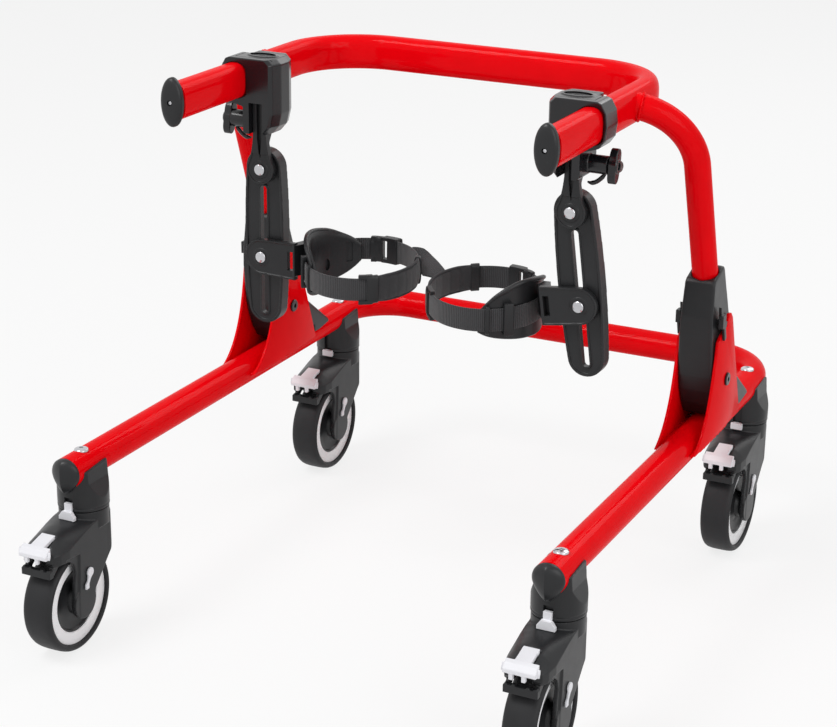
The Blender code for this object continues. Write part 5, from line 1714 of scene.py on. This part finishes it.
    def bracket(self) -> None:
        """Shapes the bracket: rimmed plate, window and the block that carries the cuff."""
        front, back = self.front, self.front + 0.0065
        item = plate("bracket", self.bracket_points(0.0), Axis.Y, front, back)
        cut(item, plate("field", self.bracket_points(0.0017), Axis.Y, front - 0.01, front + 0.0009))
        boss = rod("boss", (0, front + 0.0001, 0), (0, front + 0.005, 0), 0.0086, 40)
        foot = [(-0.0335, front + 0.001), (-0.0381, front + 0.0015), (-0.0425, 0.002),
                (-0.0485, self.setback - 0.006), (-0.0485, self.setback + 0.004),
                (-0.0365, self.setback + 0.001), (-0.0305, back - 0.001)]
        item = merge("bracket", item, boss, plate("foot", foot, Axis.Z, -0.0145, 0.0165))
        hollow = [(0.05665 * x, 0.05315 * y) for x, y in ring(1.0, 96)]
        tool = plate("hollow", hollow, Axis.Z, -0.05, 0.05)
        moved(tool, Matrix.Translation(self.centre) @ Matrix.Rotation(self.bracket_tilt, 4, "Y"))
        item = melt(item, 0.0005, 4, 1.0)
        cut(item, tool, block("window", (-0.035, -0.05, -0.0095), (-0.029, -0.0005, 0.0095)))
        self.put(thinned(item, 0.3), "cuff_bracket", self.bracket_frame, Palette.SATIN, "cuff",
                 "ankle_bracket")


@dataclass
class Cuff:
    """Cup, webbing, padded sleeve, buckle and keepers of one guide.

    Angles are in degrees from the outward side, and grow towards the front.
    """

    guide: Guide
    half_width: float = 0.055
    half_depth: float = 0.0515
    drop: float = 0.006
    slope: float = 0.1
    webbing: tuple[float, float] = (0.022, 0.0024)
    sleeve: tuple[float, float] = (0.025, 0.006)
    buckle: tuple[float, float] = (0.026, 0.007)
    sleeve_spread: float = 88.0
    buckle_spread: float = 32.0
    left_lead: float = 13.0

    def build(self) -> None:
        """Builds and dresses every piece of the cuff."""
        tip = self.guide.cup_turn + 263.0
        left = self.guide.side is Side.LEFT
        begin = self.guide.sleeve_start + (self.left_lead if left else 0.0)
        end = self.guide.sleeve_start + self.sleeve_spread
        buckle = tip - 7.0 - self.buckle_spread
        self.cup()
        self.strap("webbing_front", -12.0, begin + 2.0, "ankle_strap")
        self.strap("webbing_rear", end - 2.0, buckle + 3.0)
        self.strap("webbing_tip", tip - 10.0, tip + 9.0)
        self.padding(begin, end)
        self.catch(buckle, buckle + self.buckle_spread)
        self.keeper("keeper_front", begin + 1.0, 11.0, 14.0)
        self.keeper("keeper_rear", end - 1.0, 5.0 if left else 9.0)
        self.keeper("keeper_cup", self.guide.cup_turn + 20.0, 3.5)
        if left:
            self.tail(235.0)

    def spot(self, angle: float, out: float, rise: float) -> Vector:
        """A point of the cuff.

        Args:
            angle: Angle round the loop.
            out: Distance outward from the strap's middle.
            rise: Height above the loop's middle.

        Returns:
            The point in the cuff's frame.
        """
        a = math.radians(angle)
        centre = Vector((self.half_width * math.cos(a), -self.half_depth * math.sin(a), 0))
        normal = Vector((math.cos(a) / self.half_width, -math.sin(a) / self.half_depth, 0)).normalized()
        return centre + normal * out + Vector((0, 0, rise))

    def level(self, angle: float) -> float:
        """Height of the strap's middle."""
        return -self.drop - self.slope * self.half_depth * math.sin(math.radians(angle))

    def band(self, name: str, begin: float, end: float, size: tuple[float, float], steps: int,
             swell: Callable[[float, float], float] = lambda t, v: 1.0, offset: float = 0.0) -> Piece:
        """Sweeps a flat section with round edges along the loop.

        Args:
            name: Its name.
            begin: First angle.
            end: Last angle.
            size: Height and thickness of the section.
            steps: Number of rings.
            swell: Thickness share at a share of the length and of the height.
            offset: How far the band lies outward of the strap's middle.

        Returns:
            The band, with its surface mapped in metres.
        """
        height, thickness = size
        turns = [2 * math.pi * k / 28 for k in range(28)]
        section = [[math.copysign(abs(c) ** 0.45, c) / 2 for c in (math.cos(a), math.sin(a))] for a in turns]
        rings = []
        for i in range(steps + 1):
            t = i / steps
            angle = begin + (end - begin) * t
            level = self.level(angle)
            rings.append([self.spot(angle, offset + a * thickness * swell(t, 2 * b), level + b * height)
                          for a, b in section])
        item = loft(name, rings)
        self.map_surface(item, rings)
        return item

    @staticmethod
    def map_surface(item: Piece, rings: Sequence[Sequence[Vector]]) -> None:
        """Writes the distance along and across the band into a surface map.

        Args:
            item: The band, with its corners in the order of the rings.
            rings: The rings that it was made of.
        """
        middles = [sum(points, Vector()) / len(points) for points in rings]
        travel = [0.0]
        for near, far in zip(middles, middles[1:]):
            travel.append(travel[-1] + (far - near).length)
        count = len(rings[0])
        layer = item.data.uv_layers.new(name="surface")
        middle = sum((p.z for p in rings[0]), 0.0) / count
        for corner in item.data.loops:
            rung, k = divmod(corner.vertex_index, count)
            layer.data[corner.index].uv = (travel[rung], rings[rung][k].z - middle + 0.1)

    def put(self, item: Piece, name: str, finish: Finish, *nodes: str) -> Piece:
        """Places a piece of the cuff and dresses it."""
        return self.guide.put(item, name, self.guide.cuff_frame, finish, "cuff", *nodes)

    def strap(self, name: str, begin: float, end: float, *nodes: str) -> None:
        """Lays a stretch of webbing between two angles. It replaces the nodes, if any."""
        steps = max(8, int(abs(end - begin) / 1.5))
        self.put(self.band("webbing", begin, end, self.webbing, steps), name, Palette.STRAP, *nodes)

    def padding(self, begin: float, end: float) -> None:
        """Sews the padded sleeve: crowned between bound edges, with shallow quilted folds.

        Args:
            begin: First angle.
            end: Last angle.
        """
        def crown(t: float, v: float) -> float:
            """Share of the thickness at a share of the length and of the half height."""
            fold = 1.0 - 0.1 * math.sin(math.pi * 7 * t) ** 8
            return (0.55 + 0.47 * (1 - v * v)) * fold * min(1.0, 0.55 + 9.0 * min(t, 1.0 - t))

        sleeve = self.band("sleeve", begin, end, self.sleeve, 72, crown)
        item = self.put(sleeve, "padded_sleeve", Palette.PAD)
        height = self.sleeve[0] / 2 - 0.0008
        for word, edge in (("upper", height), ("lower", -height)):
            angles = [begin + (end - begin) * i / 60 for i in range(61)]
            line = [self.spot(angle, 0.0, self.level(angle) + edge) for angle in angles]
            self.put(bead("binding", line, 0.0017, 120, 0.0), f"sleeve_binding_{word}", Palette.RIM)

    def catch(self, begin: float, end: float) -> None:
        """Moulds the side-release buckle: body, bar, arch with its window, prong and rails.

        Args:
            begin: First angle.
            end: Last angle.
        """
        spread = end - begin
        height, thickness = self.buckle
        body = self.band("body", begin + 0.55 * spread, end - 0.16 * spread, (height, thickness), 16,
                         offset=0.001)
        bar = self.band("bar", begin + 0.02 * spread, begin + 0.4 * spread, (height, thickness * 0.72), 10)
        arch = self.band("arch", begin, begin + 0.52 * spread, (height - 0.001, 0.003), 12, offset=0.006)
        prong = self.band("prong", end - 0.26 * spread, end, (height * 0.7, thickness * 0.75), 6)
        window = self.band("window", begin + 0.06 * spread, begin + 0.6 * spread, (height - 0.007, 0.01), 12,
                           offset=0.006)
        cut(arch, window)
        edge = height / 2 - 0.0018
        rails = [self.rail(begin + first * spread, begin + last * spread, face * edge, offset)
                 for first, last, offset in ((0.05, 0.6, 0.0), (0.78, 0.97, 0.0), (0.02, 0.55, 0.0036))
                 for face in (-1, 1)]
        whole = melt(merge("buckle", body, bar, arch, prong, *rails), 0.0005, 4, 0.35)
        self.put(whole, "buckle", Palette.SATIN)

    def rail(self, begin: float, end: float, rise: float, offset: float = 0.0) -> Piece:
        """One rail along the webbing.

        Args:
            begin: First angle.
            end: Last angle.
            rise: Its height above the strap's middle.
            offset: How far it lies outward of the strap's middle.

        Returns:
            The rail.
        """
        section = [(-0.0024, -0.0018), (0.0024, -0.0018), (0.0024, 0.0018), (-0.0024, 0.0018)]
        rings = []
        for i in range(9):
            angle = begin + (end - begin) * i / 8
            level = self.level(angle) + rise
            rings.append([self.spot(angle, a + offset, level + b) for a, b in section])
        return loft("rail", rings)

    def keeper(self, name: str, angle: float, spread: float, rails: float = 0.0) -> None:
        """Moulds a flat plastic loop round the webbing.

        Args:
            name: Its name.
            angle: Its middle.
            spread: Its width as an angle.
            rails: How far its two rails reach back over the webbing, as an angle.
        """
        size = (self.sleeve[0] + 0.0022, self.sleeve[1] + 0.001)
        item = self.band("keeper", angle - spread / 2, angle + spread / 2, size, 8)
        if rails:
            edge = size[0] / 2 - 0.001
            item = merge("keeper", item, *[self.rail(angle - rails, angle, face * edge) for face in (-1, 1)])
            melt(item, 0.0005, 3, 0.35)
        else:
            round_off(item, 0.0005, 2, 60.0)
        self.put(item, name, Palette.SATIN)

    def tail(self, angle: float) -> None:
        """Lets the strap's free end leave the loop, rise, sag and turn flat.

        Args:
            angle: Where it leaves the loop.
        """
        length, lift, sag, half, out = 0.047, 0.003, 0.01, 0.0105, 0.0028
        begin = self.spot(angle, out, self.level(angle))
        ahead = self.spot(angle - 1.0, out, 0) - self.spot(angle, out, 0)
        ahead.z = 0
        ahead.normalize()
        up = Axis.Z.along
        rings = []
        for i in range(33):
            t = i / 32
            centre = begin + ahead * (length * t) + Vector((0, 0, lift * min(1.0, 4 * t) - sag * t * t))
            turn = Matrix.Rotation(math.radians(66.0) * min(1.0, 2.2 * t), 3, ahead)
            rise = turn @ up
            flat = turn @ ahead.cross(up) * 0.001
            low = half * (1.0 - 0.8 * max(0.0, t - 0.75) / 0.25)
            rings.append([centre + flat + rise * half, centre - flat + rise * half,
                          centre - flat - rise * low, centre + flat - rise * low])
        item = loft("tail", rings)
        self.map_surface(item, rings)
        self.put(item, "webbing_tail", Palette.STRAP)

    def cup(self) -> None:
        """Shapes the shin cup: a tapering curved shell with a turned lip and a slot."""
        rim = [(-95, -0.012, 0.005), (-87, -0.019, 0.0105), (-76, -0.0255, 0.0155), (-62, -0.03, 0.02),
               (-46, -0.032, 0.0232), (-31, -0.032, 0.025), (-15, -0.0315, 0.0245), (-2, -0.0305, 0.0205),
               (12, -0.029, 0.013), (22, -0.027, 0.0045), (30, -0.024, -0.004)]
        outer = -self.webbing[1] / 2 - 0.0003
        inner = outer - 0.0035
        turn = self.guide.cup_turn
        rings = []
        for angle, low, high in smooth_through(rim, 6):
            lip = 0.0025 * max(0.0, min(1.0, (high - 0.015) / 0.008))
            section = [(inner, low + 0.001), (inner + 0.001, low), (outer - 0.001, low),
                       (outer, low + 0.001), (outer, high - 0.006), (outer + lip * 0.6, high - 0.0018),
                       (outer + lip - 0.0006, high), (inner + lip + 0.0008, high),
                       (inner + lip * 0.6, high - 0.0018), (inner, high - 0.006)]
            rings.append([self.spot(turn + angle, a, b) for a, b in section])
        item = loft("cup", rings)
        cut(item, self.cup_slot(inner, outer), self.cup_recess(inner))
        brim = [self.spot(turn + angle, outer + 0.0006, high - 0.0012)
                for angle, _, high in smooth_through(rim[2:10], 5)]
        item = merge("cup", item, bead("brim", brim, 0.0024, 90, 0.0))
        self.put(item, "ankle_cup", Palette.SATIN, "shin_cup")
        self.cup_guide(outer)

    def cup_slot(self, inner: float, outer: float) -> Piece:
        """The oval slot sunk in the cup from within.

        Args:
            inner: Place of the cup's inner face.
            outer: Place of its outer face.

        Returns:
            The shape to cut out.
        """
        middle = self.guide.cup_turn - 52.2
        steps = [math.pi * i / 12 for i in range(24)]
        return loft("slot", [[self.spot(middle + 3.8 * math.cos(a), out, -0.0135 + 0.006 * math.sin(a))
                              for a in steps] for out in (inner - 0.01, outer - 0.0009)])

    def cup_recess(self, inner: float) -> Piece:
        """The shallow recess near the cup's front tip.

        Args:
            inner: Place of the cup's inner face.

        Returns:
            The shape to cut out.
        """
        section = [(inner - 0.01, -0.0108), (inner + 0.0014, -0.0108), (inner + 0.0014, 0.0088),
                   (inner - 0.01, 0.0088)]
        rings = []
        for angle in (-85.0, -82.5, -80.0, -77.5):
            level = self.level(self.guide.cup_turn + angle)
            rings.append([self.spot(self.guide.cup_turn + angle, a, level + b) for a, b in section])
        return loft("recess", rings)

    def cup_guide(self, outer: float) -> None:
        """Moulds the loop that holds the webbing on the back of the cup.

        Args:
            outer: Place of the cup's outer face.
        """
        turn = self.guide.cup_turn
        middle = self.level(turn)
        low, high = middle - 0.0115, middle + 0.0115
        near, far, wall = 0.0015, 0.0045, 0.004
        sunk = outer - 0.002
        section = [(sunk, low - wall), (far, low - wall), (far, high + wall), (sunk, high + wall),
                   (sunk, high), (near, high), (near, low), (sunk, low)]
        item = loft("guide", [[self.spot(turn + angle, a, b) for a, b in section]
                              for angle in (-4.5, -2.2, 0, 2.2, 4.5)])
        self.put(round_off(item, 0.0006, 3, 50.0), "cup_strap_loop", Palette.SATIN)


# Studio
@dataclass
class Studio:
    """A plain pale floor, a white surround, soft lamps and the camera."""

    distance: float = 6.0
    shine: float = 1.0
    fill: float = 0.45
    white: float = 0.8
    lens: float = 89.92
    shift: tuple[float, float] = (0.0045, 0.007)
    eye: tuple[float, float, float] = (0.8323, -1.74335, 0.9314)
    turn: float = 26.05
    rise: float = 19.99
    roll: float = 0.67

    def build(self) -> None:
        """Builds the floor, the world, the lamps and the camera."""
        self.floor()
        self.world()
        self.lamp("key_lamp", (-1.1, -1.5, 2.9), 1.3, 54.0)
        self.lamp("fill_lamp", (2.4, -1.2, 1.6), 1.8, 24.0)
        self.lamp("rear_lamp", (0.6, 2.2, 2.2), 1.6, 20.0)
        self.camera()
        bpy.context.scene.view_settings.view_transform = "Standard"

    def seen(self, recipe: Recipe) -> Wire:
        """A value that is 1 for what the camera, a mirror or glass shows.

        Args:
            recipe: The nodes that it joins.

        Returns:
            The value.
        """
        shown, *others = [recipe.node("ShaderNodeLightPath", {}, {}, f"Is {kind} Ray")
                          for kind in ("Camera", "Glossy", "Transmission")]
        for other in others:
            shown = recipe.node("ShaderNodeMath", {"operation": "MAXIMUM"}, {0: shown, 1: other})
        return shown

    def mix(self, recipe: Recipe, share: Wire, first: Wire, second: Wire, output: str) -> None:
        """Sends two shaders to the output, mixed by the share of the second."""
        mixed = recipe.node("ShaderNodeMixShader", {}, {0: share, 1: first, 2: second})
        recipe.feed(recipe.tree.nodes[output].inputs["Surface"], mixed)

    def floor(self) -> None:
        """Lays the floor, which shows white and keeps a soft shadow."""
        item = start("plane", "floor", size=2 * self.distance, location=(0, 0, 0))
        recipe = Recipe(bpy.data.materials.new("pale_floor"))
        recipe.constants(Base_Color=(0.8, 0.8, 0.8, 1.0), Roughness=0.9, Specular_IOR_Level=0.1)
        glow = recipe.node("ShaderNodeEmission", {}, {"Strength": 1.0})
        pale = Wire(recipe, recipe.shader.outputs[0])
        self.mix(recipe, self.seen(recipe) * self.white, pale, glow, "Material Output")
        item.data.materials.append(recipe.owner)

    def world(self) -> None:
        """Surrounds the trainer with white that lights it gently."""
        bpy.context.scene.world = bpy.data.worlds.new("surround")
        recipe = Recipe(bpy.context.scene.world)
        white = (1.0, 1.0, 1.0, 1.0)
        lights = [recipe.node("ShaderNodeBackground", {}, {"Color": white, "Strength": strength})
                  for strength in (self.fill, self.shine)]
        self.mix(recipe, self.seen(recipe), *lights, "World Output")

    def lamp(self, name: str, place: Point, size: float, power: float) -> None:
        """Hangs a square soft lamp that looks at the trainer.

        Args:
            name: Its name.
            place: Where it hangs.
            size: Its side.
            power: Its power in watts.
        """
        data = bpy.data.lights.new(name, "AREA")
        data.size = size
        data.energy = power
        item = bpy.data.objects.new(name, data)
        bpy.context.scene.collection.objects.link(item)
        item.location = place
        aim = Vector((0, 0, 0.25)) - Vector(place)
        item.rotation_euler = aim.to_track_quat("-Z", "Y").to_euler()

    def camera(self) -> None:
        """Sets the camera at the viewing angle, slightly rolled."""
        data = bpy.data.cameras.new("camera")
        data.lens = self.lens
        data.sensor_width = 36.0
        data.shift_x, data.shift_y = self.shift
        item = bpy.data.objects.new("camera", data)
        bpy.context.scene.collection.objects.link(item)
        turn, rise, roll = (math.radians(angle) for angle in (self.turn, self.rise, self.roll))
        back = Vector((math.sin(turn) * math.cos(rise), -math.cos(turn) * math.cos(rise), math.sin(rise)))
        right = Vector((math.cos(turn), math.sin(turn), 0))
        up = back.cross(right)
        leant = right * math.cos(roll) + up * math.sin(roll)
        upright = up * math.cos(roll) - right * math.sin(roll)
        matrix = Matrix((leant, upright, back)).transposed().to_4x4()
        matrix.translation = self.eye
        item.matrix_world = matrix
        bpy.context.scene.camera = item


def main() -> None:
    """Builds the studio and every sub-assembly."""
    logging.basicConfig(level=logging.INFO, format="%(message)s")
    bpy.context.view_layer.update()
    Studio().build()
    LowerFrame().build()
    HandleFrame().build()
    Caster().build()
    FoldJoint().build()
    Guide(Side.LEFT, bar_tilt=0.0, bracket_tilt=0.0, reach=0.0995, setback=0.013, rise=0.003,
          cup_turn=31.0, sleeve_start=113.0).build()
    Guide(Side.RIGHT, bar_tilt=math.radians(7.5), bracket_tilt=math.radians(8.0), reach=0.1025,
          setback=0.017, rise=-0.0085, cup_turn=46.0, sleeve_start=148.0).build()


if __name__ == "__main__":
    main()
